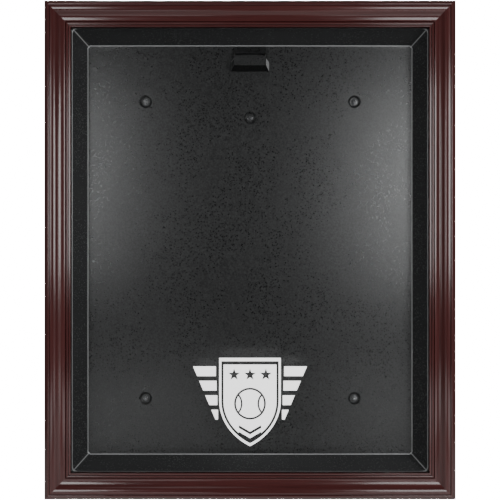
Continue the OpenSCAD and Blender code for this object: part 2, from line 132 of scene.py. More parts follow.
def choose(obj: bpy.types.Object, kind: Pick, test: Callable[..., bool]) -> int:
    """Selects the elements that pass a test, and nothing else.

    Args:
        obj: the object in edit mode.
        kind: which elements are tested.
        test: takes one element and says if it is wanted.

    Returns:
        How many elements were selected.
    """
    bpy.ops.mesh.select_all(action="DESELECT")
    bpy.ops.mesh.select_mode(type=kind.name[:-1])
    mesh = bmesh.from_edit_mesh(obj.data)
    found = 0
    for element in getattr(mesh, kind.value):
        if test(element):
            element.select_set(True)
            found += 1
    mesh.select_flush_mode()
    bmesh.update_edit_mesh(obj.data)
    return found


def middle(edge: bmesh.types.BMEdge) -> Vector:
    """The point halfway along an edge."""
    return (edge.verts[0].co + edge.verts[1].co) / 2


def named(name: str) -> bpy.types.Object:
    """The object just added by an operator, with its own name.

    Args:
        name: the name of the piece.

    Returns:
        The active object, renamed.
    """
    obj = bpy.context.object
    obj.name = name
    obj.data.name = name
    return obj


def settle(obj: bpy.types.Object) -> None:
    """Bakes an object's place, turn and scale into its mesh."""
    only(obj)
    bpy.ops.object.transform_apply(location=True, rotation=True, scale=True)


def add_box(name: str, low: Vector, high: Vector) -> bpy.types.Object:
    """Adds a box between two corners.

    Args:
        name: the name of the piece.
        low: the lowest corner.
        high: the highest corner.

    Returns:
        The box, at the origin with its place in its mesh.
    """
    bpy.ops.object.select_all(action="DESELECT")
    bpy.ops.mesh.primitive_cube_add(size=1, location=(low + high) / 2)
    box = named(name)
    box.scale = high - low
    settle(box)
    return box


def add_rod(name: str, foot: Vector, radius: float, depth: float, sides: int = 48) -> bpy.types.Object:
    """Adds a cylinder that runs from foot towards the front.

    Args:
        name: the name of the piece.
        foot: the middle of its rear end.
        radius: its radius.
        depth: its length along -Y.
        sides: how many sides it has.

    Returns:
        The cylinder, at the origin with its place in its mesh.
    """
    bpy.ops.object.select_all(action="DESELECT")
    bpy.ops.mesh.primitive_cylinder_add(
        vertices=sides,
        radius=radius,
        depth=depth,
        location=foot - Vector((0, depth / 2, 0)),
        rotation=(math.pi / 2, 0, 0),
    )
    rod = named(name)
    settle(rod)
    return rod


def join(pieces: Sequence[bpy.types.Object], name: str) -> bpy.types.Object:
    """Joins several objects into the first.

    Args:
        pieces: the objects; all but the first are used up.
        name: the name of the joined piece.

    Returns:
        The joined object.
    """
    only(pieces[0])
    for piece in pieces[1:]:
        piece.select_set(True)
    if len(pieces) > 1:
        bpy.ops.object.join()
    return named(name)


def copy_of(obj: bpy.types.Object, name: str, turn: Matrix | None = None) -> bpy.types.Object:
    """Copies an object with its own mesh.

    Args:
        obj: the model for the copy.
        name: the copy's name.
        turn: a turn or shift to apply to the copy's mesh.

    Returns:
        The copy.
    """
    twin = obj.copy()
    twin.data = obj.data.copy()
    twin.name = name
    twin.data.name = name
    bpy.context.scene.collection.objects.link(twin)
    if turn is not None:
        twin.data.transform(turn)
    return twin


def apply_modifier(obj: bpy.types.Object, kind: str, **settings: object) -> None:
    """Adds one modifier, sets it and applies it.

    Args:
        obj: the object.
        kind: the modifier's type.
        settings: values for the modifier's properties.
    """
    only(obj)
    modifier = obj.modifiers.new(kind.lower(), kind)
    for key, value in settings.items():
        setattr(modifier, key, value)
    bpy.ops.object.modifier_apply(modifier=modifier.name)


def cut(obj: bpy.types.Object, cutter: bpy.types.Object, operation: str = "DIFFERENCE") -> None:
    """Cuts obj with a closed cutter, or joins the two, and removes the cutter.

    Args:
        obj: the object to cut.
        cutter: the closed solid that is taken away or added.
        operation: the Boolean modifier's operation.
    """
    apply_modifier(obj, "BOOLEAN", object=cutter, operation=operation, solver="EXACT")
    bpy.data.objects.remove(cutter, do_unlink=True)


def ease_edges(obj: bpy.types.Object, width: float, segments: int = 2, sharper_than: float = 35) -> None:
    """Rounds every sharp edge a little.

    Args:
        obj: the object.
        width: the width of the rounding.
        segments: how many faces go round it.
        sharper_than: the least angle in degrees between faces that counts as sharp.
    """
    apply_modifier(
        obj,
        "BEVEL",
        width=width,
        segments=segments,
        limit_method="ANGLE",
        angle_limit=math.radians(sharper_than),
        use_clamp_overlap=True,
        harden_normals=False,
    )


def smooth(obj: bpy.types.Object, angle: float = 30) -> None:
    """Shades a piece smooth across its blunt edges, led by its broad faces.

    Args:
        obj: the piece.
        angle: edges sharper than this, in degrees, stay sharp.
    """
    only(obj)
    bpy.ops.object.shade_smooth_by_angle(angle=math.radians(angle))
    apply_modifier(obj, "WEIGHTED_NORMAL", keep_sharp=True, mode="FACE_AREA_WITH_ANGLE")


def close_and_face_out(obj: bpy.types.Object, gap: float = 1e-6) -> None:
    """Merges doubled points and turns every face outwards.

    Args:
        obj: the object.
        gap: points closer than this are merged.
    """
    with editing(obj):
        bpy.ops.mesh.select_all(action="SELECT")
        bpy.ops.mesh.remove_doubles(threshold=gap)
        bpy.ops.mesh.normals_make_consistent(inside=False)


def arc(centre: tuple[float, float], radii: tuple[float, float], span: tuple[float, float],
        steps: int) -> list[tuple[float, float]]:
    """Points on an arc.

    Args:
        centre: its middle.
        radii: its radius along each direction.
        span: the first and the last angle, in degrees.
        steps: how many stretches it has.

    Returns:
        The points, both ends included.
    """
    first, last = (math.radians(a) for a in span)
    angles = [first + (last - first) * i / steps for i in range(steps + 1)]
    return [(centre[0] + radii[0] * math.cos(a), centre[1] + radii[1] * math.sin(a)) for a in angles]


def draw_chain(name: str, points: Sequence[Vector], closed: bool) -> bpy.types.Object:
    """Draws a chain of edges by extruding one vertex from point to point.

    Args:
        name: the name of the piece.
        points: the places it goes through.
        closed: whether its end meets its start.

    Returns:
        An object with edges only.
    """
    bpy.ops.object.select_all(action="DESELECT")
    bpy.ops.mesh.primitive_plane_add(size=MM, location=points[0])
    chain = named(name)
    settle(chain)
    with editing(chain):
        bpy.ops.mesh.select_all(action="SELECT")
        bpy.ops.mesh.merge(type="CENTER")
        for here, there in zip(points, points[1:]):
            bpy.ops.mesh.extrude_vertices_move(TRANSFORM_OT_translate={"value": there - here})
        if closed:
            bpy.ops.mesh.select_all(action="SELECT")
            ends = (points[0], points[-1])
            choose(chain, Pick.VERTS, lambda v: any((v.co - end).length < 1e-7 for end in ends))
            bpy.ops.mesh.edge_face_add()
    return chain


@dataclass(frozen=True)
class MitredLength:
    """A length of some section that runs along X, with 45 degree ends.

    The section's points are (u, h): u runs in from the outer edge, h runs forward from the rear plane.
    """

    section: Sequence[tuple[float, float]]
    span: float
    half: float
    rear: float

    def build(self, name: str) -> bpy.types.Object:
        """Draws the section, draws it out and cuts its mitres.

        Args:
            name: the name of the piece.

        Returns:
            A closed solid with its outer edge at z = half.
        """
        start = -self.span / 2 - MM
        points = [Vector((start, -self.rear - h, self.half - u)) for u, h in self.section]
        length = draw_chain(name, points, closed=True)
        with editing(length):
            bpy.ops.mesh.select_all(action="SELECT")
            bpy.ops.mesh.extrude_edges_move(
                TRANSFORM_OT_translate={"value": (self.span + 2 * MM, 0, 0)}
            )
            for side in (-1, 1):
                bpy.ops.mesh.select_all(action="SELECT")
                bpy.ops.mesh.bisect(
                    plane_co=(side * self.span / 2, 0, self.half),
                    plane_no=(side, 0, -1),
                    use_fill=True,
                    clear_outer=True,
                )
        close_and_face_out(length)
        return length


# ---------------------------------------------------------------- finishes


class Nodes:
    """A small pen for material node trees."""

    def __init__(self, name: str) -> None:
        """Starts a material with a principled shader on its output.

        Args:
            name: the material's name.
        """
        self.material = bpy.data.materials.new(name)
        self.material.use_nodes = True
        self.tree = self.material.node_tree
        self.shader = self.tree.nodes["Principled BSDF"]
        self.output = self.tree.nodes["Material Output"]

    def add(self, kind: str, **settings: object) -> bpy.types.Node:
        """Adds a node.

        Args:
            kind: the node's type without its prefix.
            settings: values for its properties.

        Returns:
            The node.
        """
        node = self.tree.nodes.new("ShaderNode" + kind)
        for key, value in settings.items():
            setattr(node, key, value)
        return node

    def link(self, out: bpy.types.NodeSocket, into: bpy.types.NodeSocket) -> None:
        """Joins two sockets."""
        self.tree.links.new(out, into)

    def place(self, scale: Sequence[float], location: Sequence[float] = (0, 0, 0)) -> bpy.types.NodeSocket:
        """The object's own coordinates, stretched.

        Args:
            scale: how many pattern units fit in a metre, along X, Y and Z.
            location: a shift after the stretch.

        Returns:
            The vector socket.
        """
        coordinates = self.add("TexCoord")
        mapping = self.add("Mapping")
        mapping.inputs["Scale"].default_value = scale
        mapping.inputs["Location"].default_value = location
        self.link(coordinates.outputs["Object"], mapping.inputs["Vector"])
        return mapping.outputs["Vector"]

    def noise(self, place: bpy.types.NodeSocket, scale: float, detail: float = 3,
              rough: float = 0.5, distortion: float = 0) -> bpy.types.NodeSocket:
        """Cloudy noise.

        Args:
            place: the coordinates it reads.
            scale: how fine it is.
            detail: how many octaves it has.
            rough: how strong the finer ones are.
            distortion: how far it is swirled.

        Returns:
            Its value, from 0 to 1.
        """
        node = self.add("TexNoise")
        for key, value in (("Scale", scale), ("Detail", detail), ("Roughness", rough),
                           ("Distortion", distortion)):
            node.inputs[key].default_value = value
        self.link(place, node.inputs["Vector"])
        return node.outputs["Fac"]

    def ramp(self, value: bpy.types.NodeSocket,
             *stops: tuple[float, Sequence[float]]) -> bpy.types.NodeSocket:
        """Colours for a value.

        Args:
            value: the value, from 0 to 1.
            stops: (place, colour) in order; a colour is three numbers.

        Returns:
            The colour socket.
        """
        node = self.add("ValToRGB")
        elements = node.color_ramp.elements
        while len(elements) < len(stops):
            elements.new(0.5)
        for element, (at, colour) in zip(elements, stops):
            element.position = at
            element.color = (*colour, 1)
        self.link(value, node.inputs["Fac"])
        return node.outputs["Color"]

    def spread(self, value: bpy.types.NodeSocket, low: float, high: float,
               start: float = 0, stop: float = 1) -> bpy.types.NodeSocket:
        """Maps a value onto another range.

        Args:
            value: the value.
            low: the result at start.
            high: the result at stop.
            start: the value that gives low.
            stop: the value that gives high.

        Returns:
            The mapped value.
        """
        node = self.add("MapRange")
        for key, number in (("From Min", start), ("From Max", stop), ("To Min", low), ("To Max", high)):
            node.inputs[key].default_value = number
        self.link(value, node.inputs["Value"])
        return node.outputs["Result"]

    def mix(self, share: bpy.types.NodeSocket | float, one: bpy.types.NodeSocket | Sequence[float],
            other: bpy.types.NodeSocket | Sequence[float], blend: str = "MIX") -> bpy.types.NodeSocket:
        """Mixes two colours.

        Args:
            share: how much of the other there is.
            one: the first colour.
            other: the second colour.
            blend: the way they are mixed.

        Returns:
            The mixed colour.
        """
        node = self.add("Mix", data_type="RGBA", blend_type=blend)
        for key, value in ((0, share), (6, one), (7, other)):
            if isinstance(value, bpy.types.NodeSocket):
                self.link(value, node.inputs[key])
            else:
                node.inputs[key].default_value = value if key == 0 else (*value, 1)
        return node.outputs[2]

    def maths(self, operation: str, *values: bpy.types.NodeSocket | float) -> bpy.types.NodeSocket:
        """One step of arithmetic.

        Args:
            operation: the Math node's operation.
            values: its inputs.

        Returns:
            The result.
        """
        node = self.add("Math", operation=operation)
        for key, value in enumerate(values):
            if isinstance(value, bpy.types.NodeSocket):
                self.link(value, node.inputs[key])
            else:
                node.inputs[key].default_value = value
        return node.outputs[0]

    def bump(self, height: bpy.types.NodeSocket, strength: float, distance: float,
             after: bpy.types.NodeSocket | None = None) -> bpy.types.NodeSocket:
        """A bumped normal.

        Args:
            height: the height, from 0 to 1.
            strength: how much of it counts.
            distance: the height in metres that 1 stands for.
            after: another bumped normal to start from.

        Returns:
            The normal socket.
        """
        node = self.add("Bump")
        node.inputs["Strength"].default_value = strength
        node.inputs["Distance"].default_value = distance
        self.link(height, node.inputs["Height"])
        if after is not None:
            self.link(after, node.inputs["Normal"])
        return node.outputs["Normal"]

    def set(self, **values: float | Sequence[float]) -> None:
        """Sets the shader's own sockets; an underscore in a name stands for a space."""
        for key, value in values.items():
            self.shader.inputs[key.replace("_", " ")].default_value = value


@dataclass(frozen=True)
class Finish(ABC):
    """A surface finish that can make its own material."""

    name: str

    @abstractmethod
    def paint(self, nodes: Nodes) -> None:
        """Draws the finish's nodes."""

    def material(self) -> bpy.types.Material:
        """The finish's material, made on its first use.

        Returns:
            One material, shared by every piece with this finish.
        """
        full_name = f"finish_{self.name}"
        known = bpy.data.materials.get(full_name)
        if known is not None:
            return known
        nodes = Nodes(full_name)
        self.paint(nodes)
        return nodes.material


@dataclass(frozen=True)
class StainedWood(Finish):
    """Mahogany-stained hardwood under satin lacquer."""

    grain: Grain = Grain.ACROSS
    dark: tuple[float, float, float] = (0.036, 0.0080, 0.0078)
    light: tuple[float, float, float] = (0.067, 0.0155, 0.0148)
    pore_tint: tuple[float, float, float] = (0.020, 0.0050, 0.0048)
    broad_tint: tuple[float, float, float] = (0.053, 0.0110, 0.0105)
    figure: float = 34.0
    pores: float = 720.0
    stretch: float = 0.045
    pore_stretch: float = 0.025
    lacquer: float = 0.14
    # reach of the AO that paints shade into the quirks, coves and mitres
    painted_shade_reach: float = 4 * MM

    def paint(self, nodes: Nodes) -> None:
        """Draws long streaks, fine pores, painted shade in the quirks and coves, and a satin lacquer.

        Args:
            nodes: the pen of the finish's material.
        """
        along = Vector(self.grain.value)
        place = nodes.place([1 - (1 - self.stretch) * a for a in along])
        streaks = nodes.noise(place, self.figure, detail=6, rough=0.62, distortion=0.35)
        pore_place = nodes.place([1 - (1 - self.pore_stretch) * a for a in along])
        pores = nodes.noise(pore_place, self.pores, detail=2)
        broad = nodes.noise(nodes.place((1, 1, 1), (3.1, 0.7, 1.9)), 2.2, detail=2)
        colour = nodes.ramp(streaks, (0.30, self.dark), (0.72, self.light))
        pore_mask = nodes.spread(pores, 0, 0.55, 0.56, 0.68)
        colour = nodes.mix(pore_mask, colour, self.pore_tint)
        colour = nodes.mix(nodes.spread(broad, 0, 0.35, 0.35, 0.7), colour, self.broad_tint)
        # Painted shade: the colour is darkened down to 0.35 wherever the AO node finds the surface occluded,
        # in the quirks, coves and mitres.
        painted_shade_ao = nodes.add("AmbientOcclusion", samples=4, only_local=True)
        painted_shade_ao.inputs["Distance"].default_value = self.painted_shade_reach
        shade = nodes.spread(painted_shade_ao.outputs["AO"], 0.35, 1.0, 0.35, 0.95)
        grey = nodes.add("CombineColor")
        for socket in grey.inputs[:3]:
            nodes.link(shade, socket)
        colour = nodes.mix(1.0, colour, grey.outputs[0], "MULTIPLY")
        nodes.link(colour, nodes.shader.inputs["Base Color"])
        rough = nodes.spread(streaks, self.lacquer, self.lacquer + 0.07, 0.3, 0.75)
        nodes.link(rough, nodes.shader.inputs["Roughness"])
        normal = nodes.bump(pores, 0.12, 0.12 * MM)
        normal = nodes.bump(streaks, 0.10, 0.30 * MM, normal)
        nodes.link(normal, nodes.shader.inputs["Normal"])
        nodes.set(Specular_IOR_Level=0.5)


@dataclass(frozen=True)
class GrainedPlastic(Finish):
    """Black sheet plastic with a fine leather-like grain, smoother where it was stretched thin; its walls are
    painted paler as painted light, and its folds, rim and corner lines carry painted highlights.
    """

    colour: tuple[float, float, float] = (0.0035, 0.0035, 0.0036)
    fleck: tuple[float, float, float] = (0.026, 0.026, 0.0265)
    rough: float = 0.30
    cell: float = 430.0
    mottle: float = 300.0
    depth: float = 0.10 * MM
    swell: float = 0.10 * MM
    # painted light: the paler colour of the walls
    painted_wall_light: tuple[float, float, float] = (0.050, 0.050, 0.051)
    # painted highlight: near-white colour for the folds, rim, corner lines and the catch's glints
    painted_highlight: tuple[float, float, float] = (0.36, 0.36, 0.363)

    def paint(self, nodes: Nodes) -> None:
        """Draws pebbled cells over a soft mottle, paler walls as painted light, and painted highlights on the
        folds, rim, corner lines and catch.

        Args:
            nodes: the pen of the finish's material.
        """
        place = nodes.place((1, 1, 1))
        cells = nodes.add("TexVoronoi", feature="F1")
        cells.inputs["Scale"].default_value = self.cell
        nodes.link(place, cells.inputs["Vector"])
        mottle = nodes.noise(place, self.mottle, detail=1, rough=0.5)
        wide = nodes.noise(place, 9, detail=3)
        formed = nodes.add("Attribute", attribute_type="GEOMETRY", attribute_name=STRETCH_AND_PAINTED_LIGHT)
        stretched = formed.outputs["Fac"]
        painted_wall_light_mask = nodes.spread(stretched, 0.0, 0.9, 0.1, 0.4)
        colour = nodes.ramp(mottle, (0.28, self.colour), (0.72, self.fleck))
        # Painted light: the walls, and the folds under their highlights, are painted paler.
        colour = nodes.mix(painted_wall_light_mask, colour, self.painted_wall_light)
        # Painted highlights: the fold, rim and corner-line faces and the catch's glints are painted near
        # white.
        colour = nodes.mix(nodes.spread(stretched, 0, 1, 0.6, 1), colour, self.painted_highlight)
        nodes.link(colour, nodes.shader.inputs["Base Color"])
        rough = nodes.spread(mottle, self.rough - 0.03, self.rough + 0.04, 0.3, 0.7)
        rough = nodes.maths("ADD", nodes.spread(wide, -0.012, 0.012, 0.3, 0.7), rough)
        rough = nodes.maths("SUBTRACT", rough, nodes.spread(stretched, 0, 0.12))
        nodes.link(rough, nodes.shader.inputs["Roughness"])
        grained = nodes.spread(stretched, 1.0, 0.1, 0, 0.5)
        pebbles = nodes.maths("MULTIPLY", cells.outputs["Distance"], grained)
        swells = nodes.maths("MULTIPLY", mottle, grained)
        normal = nodes.bump(pebbles, 0.55, self.depth)
        normal = nodes.bump(swells, 0.9, self.swell, normal)
        nodes.link(normal, nodes.shader.inputs["Normal"])
        nodes.set(Specular_IOR_Level=0.5)


@dataclass(frozen=True)
class ClearSheet(Finish):
    """Clear glare-free acrylic: it lets light straight through and mirrors only at a slant."""

    mirror: float = 1.45
    clear_until: float = 0.15
    full_from: float = 0.45
    tint: tuple[float, float, float] = (0.985, 0.99, 0.99)

    def paint(self, nodes: Nodes) -> None:
        """Draws a clear and a glossy shader, mixed by the viewing angle, with faint smears.

        Args:
            nodes: the pen of the finish's material.
        """
        clear = nodes.add("BsdfTransparent")
        clear.inputs["Color"].default_value = (*self.tint, 1)
        shine = nodes.add("BsdfGlossy")
        smears = nodes.noise(nodes.place((1, 1, 0.4)), 14, detail=4)
        nodes.link(nodes.spread(smears, 0.01, 0.05, 0.4, 0.7), shine.inputs["Roughness"])
        turn = nodes.add("Fresnel")
        turn.inputs["IOR"].default_value = self.mirror
        lean = nodes.add("LayerWeight")
        lean.inputs["Blend"].default_value = 0.5
        slanted = nodes.spread(lean.outputs["Facing"], 0, 1, self.clear_until, self.full_from)
        glare = nodes.maths("MULTIPLY", turn.outputs[0], slanted)
        mixed = nodes.add("MixShader")
        nodes.link(glare, mixed.inputs[0])
        nodes.link(clear.outputs[0], mixed.inputs[1])
        nodes.link(shine.outputs[0], mixed.inputs[2])
        nodes.link(mixed.outputs[0], nodes.output.inputs["Surface"])
        nodes.tree.nodes.remove(nodes.shader)


@dataclass(frozen=True)
class PrintedFilm(Finish):
    """Opaque white ink on film, made to glow as painted light."""

    colour: tuple[float, float, float] = (0.92, 0.92, 0.915)
    painted_glow: float = 1.0

    def paint(self, nodes: Nodes) -> None:
        """Draws an even white with the faint mottle of screen ink, and an emission that makes the ink glow as
        painted light.

        Args:
            nodes: the pen of the finish's material.
        """
        ink = nodes.noise(nodes.place((1, 1, 1)), 900, detail=2)
        colour = nodes.ramp(ink, (0.2, [c * 0.96 for c in self.colour]), (0.8, self.colour))
        nodes.link(colour, nodes.shader.inputs["Base Color"])
        nodes.link(nodes.spread(ink, 0.42, 0.55), nodes.shader.inputs["Roughness"])
        nodes.link(nodes.bump(ink, 0.2, 0.02 * MM), nodes.shader.inputs["Normal"])
        # Painted light: the ink glows by its own emission.
        nodes.set(Emission_Color=(1, 1, 1, 1), Emission_Strength=self.painted_glow)


@dataclass(frozen=True)
class PlatedMetal(Finish):
    """Plated steel with fine brushing and a little tarnish."""

    colour: tuple[float, float, float] = (0.56, 0.57, 0.58)
    tarnish: tuple[float, float, float] = (0.30, 0.30, 0.31)
    rough: float = 0.30

    def paint(self, nodes: Nodes) -> None:
        """Draws metal with brush lines and clouded patches.

        Args:
            nodes: the pen of the finish's material.
        """
        brushed = nodes.noise(nodes.place((1, 1, 0.05)), 1800, detail=2)
        clouds = nodes.noise(nodes.place((1, 1, 1)), 160, detail=4)
        colour = nodes.ramp(clouds, (0.38, self.tarnish), (0.62, self.colour))
        nodes.link(colour, nodes.shader.inputs["Base Color"])
        clouded = nodes.spread(clouds, 0.12, -0.02, 0.3, 0.7)
        lined = nodes.spread(brushed, self.rough - 0.06, self.rough + 0.08, 0.3, 0.7)
        rough = nodes.maths("ADD", clouded, lined)
        nodes.link(rough, nodes.shader.inputs["Roughness"])
        nodes.link(nodes.bump(brushed, 0.15, 0.03 * MM), nodes.shader.inputs["Normal"])
        nodes.set(Metallic=1.0)


@dataclass(frozen=True)
class PressedBoard(Finish):
    """Brown hardboard with a pressed, fibrous face."""

    dark: tuple[float, float, float] = (0.085, 0.045, 0.022)
    light: tuple[float, float, float] = (0.22, 0.125, 0.065)

    def paint(self, nodes: Nodes) -> None:
        """Draws short fibres in all directions over cloudy browns.

        Args:
            nodes: the pen of the finish's material.
        """
        place = nodes.place((1, 1, 1))
        fibres = nodes.noise(place, 420, detail=6, rough=0.7, distortion=1.2)
        clouds = nodes.noise(place, 7, detail=4, rough=0.6)
        colour = nodes.ramp(fibres, (0.3, self.dark), (0.7, self.light))
        colour = nodes.mix(nodes.spread(clouds, 0, 0.5, 0.35, 0.7), colour, [c * 1.25 for c in self.dark])
        nodes.link(colour, nodes.shader.inputs["Base Color"])
        nodes.link(nodes.spread(fibres, 0.5, 0.75, 0.3, 0.7), nodes.shader.inputs["Roughness"])
        nodes.link(nodes.bump(fibres, 0.4, 0.15 * MM), nodes.shader.inputs["Normal"])


@dataclass(frozen=True)
class PlainPlastic(Finish):
    """Extruded or moulded plastic with a faint surface texture."""

    colour: tuple[float, float, float] = (0.012, 0.011, 0.011)
    rough: float = 0.42

    def paint(self, nodes: Nodes) -> None:
        """Draws an even colour broken by fine noise.

        Args:
            nodes: the pen of the finish's material.
        """
        fine = nodes.noise(nodes.place((1, 1, 1)), 700, detail=3)
        darker, lighter = ([c * share for c in self.colour] for share in (0.8, 1.25))
        colour = nodes.ramp(fine, (0.3, darker), (0.7, lighter))
        nodes.link(colour, nodes.shader.inputs["Base Color"])
        rough = nodes.spread(fine, self.rough - 0.06, self.rough + 0.08, 0.3, 0.7)
        nodes.link(rough, nodes.shader.inputs["Roughness"])
        nodes.link(nodes.bump(fine, 0.25, 0.05 * MM), nodes.shader.inputs["Normal"])


RAIL_WOOD = StainedWood("mahogany_rail", grain=Grain.ACROSS)
STILE_WOOD = StainedWood("mahogany_stile", grain=Grain.UPRIGHT)
TRAY_PLASTIC = GrainedPlastic("black_tray")
SHEET = ClearSheet("clear_sheet")
FILM = PrintedFilm("white_film")
ZINC = PlatedMetal("zinc_plate")
BRASS = PlatedMetal("antique_brass", colour=(0.36, 0.24, 0.10), tarnish=(0.11, 0.07, 0.035), rough=0.34)
BLACK_SCREW = PlatedMetal("black_screw", colour=(0.20, 0.20, 0.205), tarnish=(0.05, 0.05, 0.052), rough=0.26)
NICKEL = PlatedMetal("nickel_magnet", colour=(0.66, 0.64, 0.60), tarnish=(0.45, 0.44, 0.42), rough=0.16)
BOARD = PressedBoard("hardboard")
STOP_PLASTIC = PlainPlastic("stop_plastic")
SOFT_DOT = PlainPlastic("soft_dot", colour=(0.42, 0.42, 0.40), rough=0.3)


def dress(obj: bpy.types.Object, finish: Finish) -> None:
    """Gives a new piece its one finish.

    Args:
        obj: the piece.
        finish: the finish it gets.
    """
    obj.data.materials.clear()
    obj.data.materials.append(finish.material())


def dress_node(node: str, finish: Finish) -> None:
    """Gives a carried-over CAD node a finish in its own slots.

    Args:
        node: the node's name.
        finish: the finish it gets.
    """
    obj = frame["nodes"][node]
    for material_slot in obj.material_slots:
        material_slot.material = finish.material()
    log.info("%s keeps its CAD shape, finish %s", node, finish.name)


def hand_over(obj: bpy.types.Object, body: Body, node: str) -> None:
    """Puts a finished piece in the place of its CAD node.

    Args:
        obj: the piece.
        body: the body it rides on.
        node: the CAD node it stands for.
    """
    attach(obj, body.value)
    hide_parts(node)
    log.info("%s: %d faces, for %s on %s", obj.name, len(obj.data.polygons), node, body.value)


# ---------------------------------------------------------------- door


@dataclass
class DoorFrame:
    """Four mitred lengths of one moulding, with the cuts for hinges, strikes and corner nails."""

    crest: float = 2.4 * MM
    crest_at: float = 13.2 * MM
    ogee: float = 13.7 * MM
    ogee_at: float = 19 * MM
    cove: float = 18.9 * MM
    bead: float = 2.6 * MM
    bead_at: float = 49.8 * MM
    bead_high: float = 10.8 * MM
    lip: float = 12 * MM
    rabbet: tuple[float, float] = (10 * MM, 7 * MM)
    eased: float = 0.35 * MM
    hinge: float = 64 * MM
    low: Vector = field(default_factory=lambda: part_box("door_rail_bottom")[0])
    high: Vector = field(default_factory=lambda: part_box("door_rail_top")[1])

    @property
    def rear(self) -> float:
        """Distance from the wall to the door's rear face."""
        return -self.high.y

    @property
    def thick(self) -> float:
        """Thickness at the crest."""
        return self.high.y - self.low.y

    @property
    def face(self) -> float:
        """Width of the moulding's face."""
        low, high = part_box("door_rail_top")
        return high.z - low.z

    def section(self) -> list[tuple[float, float]]:
        """The moulding's section: round shoulder, crest bead, ogee, small bead and lip.

        Returns:
            Points (u, h) with u from the outer edge and h from the rear face.
        """
        top = self.thick - 0.8 * MM
        slope = math.radians(50)
        turn = (self.ogee_at + self.ogee * math.sin(slope), top - self.ogee * (1 - math.cos(slope)))
        cove_centre = (turn[0] + self.cove * math.sin(slope), turn[1] + self.cove * math.cos(slope))
        wide, deep = self.rabbet
        return [
            (0, 0),
            *arc((24 * MM, 7 * MM), (24 * MM, 16 * MM), (180, 125), 12),
            (self.crest_at - self.crest, 20.4 * MM),
            *arc((self.crest_at, self.thick - self.crest), (self.crest, self.crest), (180, 0), 14),
            (16.2 * MM, 22 * MM),
            *arc((self.ogee_at, top - self.ogee), (self.ogee, self.ogee), (99, 40), 18),
            *arc(cove_centre, (self.cove, self.cove), (222, 275), 18),
            (46.6 * MM, 10.6 * MM),
            *arc((self.bead_at, self.bead_high), (self.bead, self.bead), (175, 5), 14),
            (52.9 * MM, 10.9 * MM),
            (53.3 * MM, self.lip),
            *arc((self.face - 1 * MM, self.lip - 1 * MM), (1 * MM, 1 * MM), (90, 0), 5),
            (self.face, deep),
            (self.face - wide, deep),
            (self.face - wide, 0),
        ]

    def nail_cutter(self) -> bpy.types.Object:
        """A merged copy of the corner nails, pushed a little out of the rear face.

        Returns:
            One cutter for all eight nails.
        """
        nails = copy_of(frame["nodes"]["door_corner_nails"], "nail_cutter")
        nails.data.transform(Matrix.Translation((0, 0.1 * MM, 0)))
        close_and_face_out(nails, 1e-5)
        return nails

    def hinge_cutters(self) -> bpy.types.Object:
        """Boxes for the leaves, knuckles and pin caps that are let into the left stile.

        Returns:
            One cutter for all three hinges.
        """
        low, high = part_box("hinge_door_leaves")
        half = self.hinge / 2
        reach, cap_reach = half + 0.2 * MM, half + 1.5 * MM
        boxes = []
        for index, middle_z in enumerate((high.z - half, 0, low.z + half)):
            leaf = add_box(
                f"leaf_cutter_{index}",
                Vector((low.x - 4 * MM, low.y, middle_z - reach)),
                Vector((high.x + 0.1 * MM, self.high.y + MM, middle_z + reach)),
            )
            knuckle = add_box(
                f"knuckle_cutter_{index}",
                Vector((low.x - 4.5 * MM, low.y - 0.4 * MM, middle_z - cap_reach)),
                Vector((low.x + 6.4 * MM, self.high.y + 1.1 * MM, middle_z + cap_reach)),
            )
            cut(leaf, knuckle, "UNION")
            boxes.append(leaf)
        return join(boxes, "hinge_cutter")

    def strike_cutters(self) -> bpy.types.Object:
        """Discs for the steel strikes that are let into the right stile.

        Returns:
            One cutter for both strikes.
        """
        low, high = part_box("catch_strikes")
        radius = (high.x - low.x) / 2
        across = (high.x + low.x) / 2
        deep = high.y - low.y + MM
        rods = [
            add_rod(f"strike_cutter_{z:.3f}", Vector((across, high.y + MM, z)), radius + 0.1 * MM, deep)
            for z in (low.z + radius, high.z - radius)
        ]
        return join(rods, "strike_cutter")

    def build(self) -> None:
        """Models one rail and one stile, copies and turns them, and cuts each."""
        wide = self.high.x - self.low.x
        tall = self.high.z - self.low.z
        rail = MitredLength(self.section(), wide, tall / 2, self.rear).build("rail_model")
        stile = MitredLength(self.section(), tall, wide / 2, self.rear).build("stile_model")
        turns = {
            "door_rail_top": (rail, 0, RAIL_WOOD, None),
            "door_rail_bottom": (rail, 180, RAIL_WOOD, None),
            "door_stile_left": (stile, -90, STILE_WOOD, self.hinge_cutters),
            "door_stile_right": (stile, 90, STILE_WOOD, self.strike_cutters),
        }
        for node, (model, degrees, finish, cutters) in turns.items():
            piece = copy_of(model, node + "_moulding", Matrix.Rotation(math.radians(degrees), 4, "Y"))
            cut(piece, self.nail_cutter())
            if cutters is not None:
                cut(piece, cutters())
            ease_edges(piece, self.eased)
            smooth(piece)
            dress(piece, finish)
            hand_over(piece, Body.DOOR, node)
        for model in (rail, stile):
            bpy.data.objects.remove(model, do_unlink=True)


@dataclass
class Glazing:
    """The clear sheet, its stops and their pins, and the print on its face."""

    polished: float = 0.4 * MM

    def build(self) -> None:
        """Models the sheet and dresses what holds it."""
        low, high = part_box("acrylic_panel")
        sheet = add_box("acrylic_sheet", low, high)
        ease_edges(sheet, self.polished)
        smooth(sheet)
        dress(sheet, SHEET)
        hand_over(sheet, Body.DOOR, "acrylic_panel")
        for side in ("top", "bottom", "left", "right"):
            dress_node(f"glazing_stop_{side}", STOP_PLASTIC)
        dress_node("glazing_stop_pins", ZINC)
        dress_node("emblem_print", FILM)


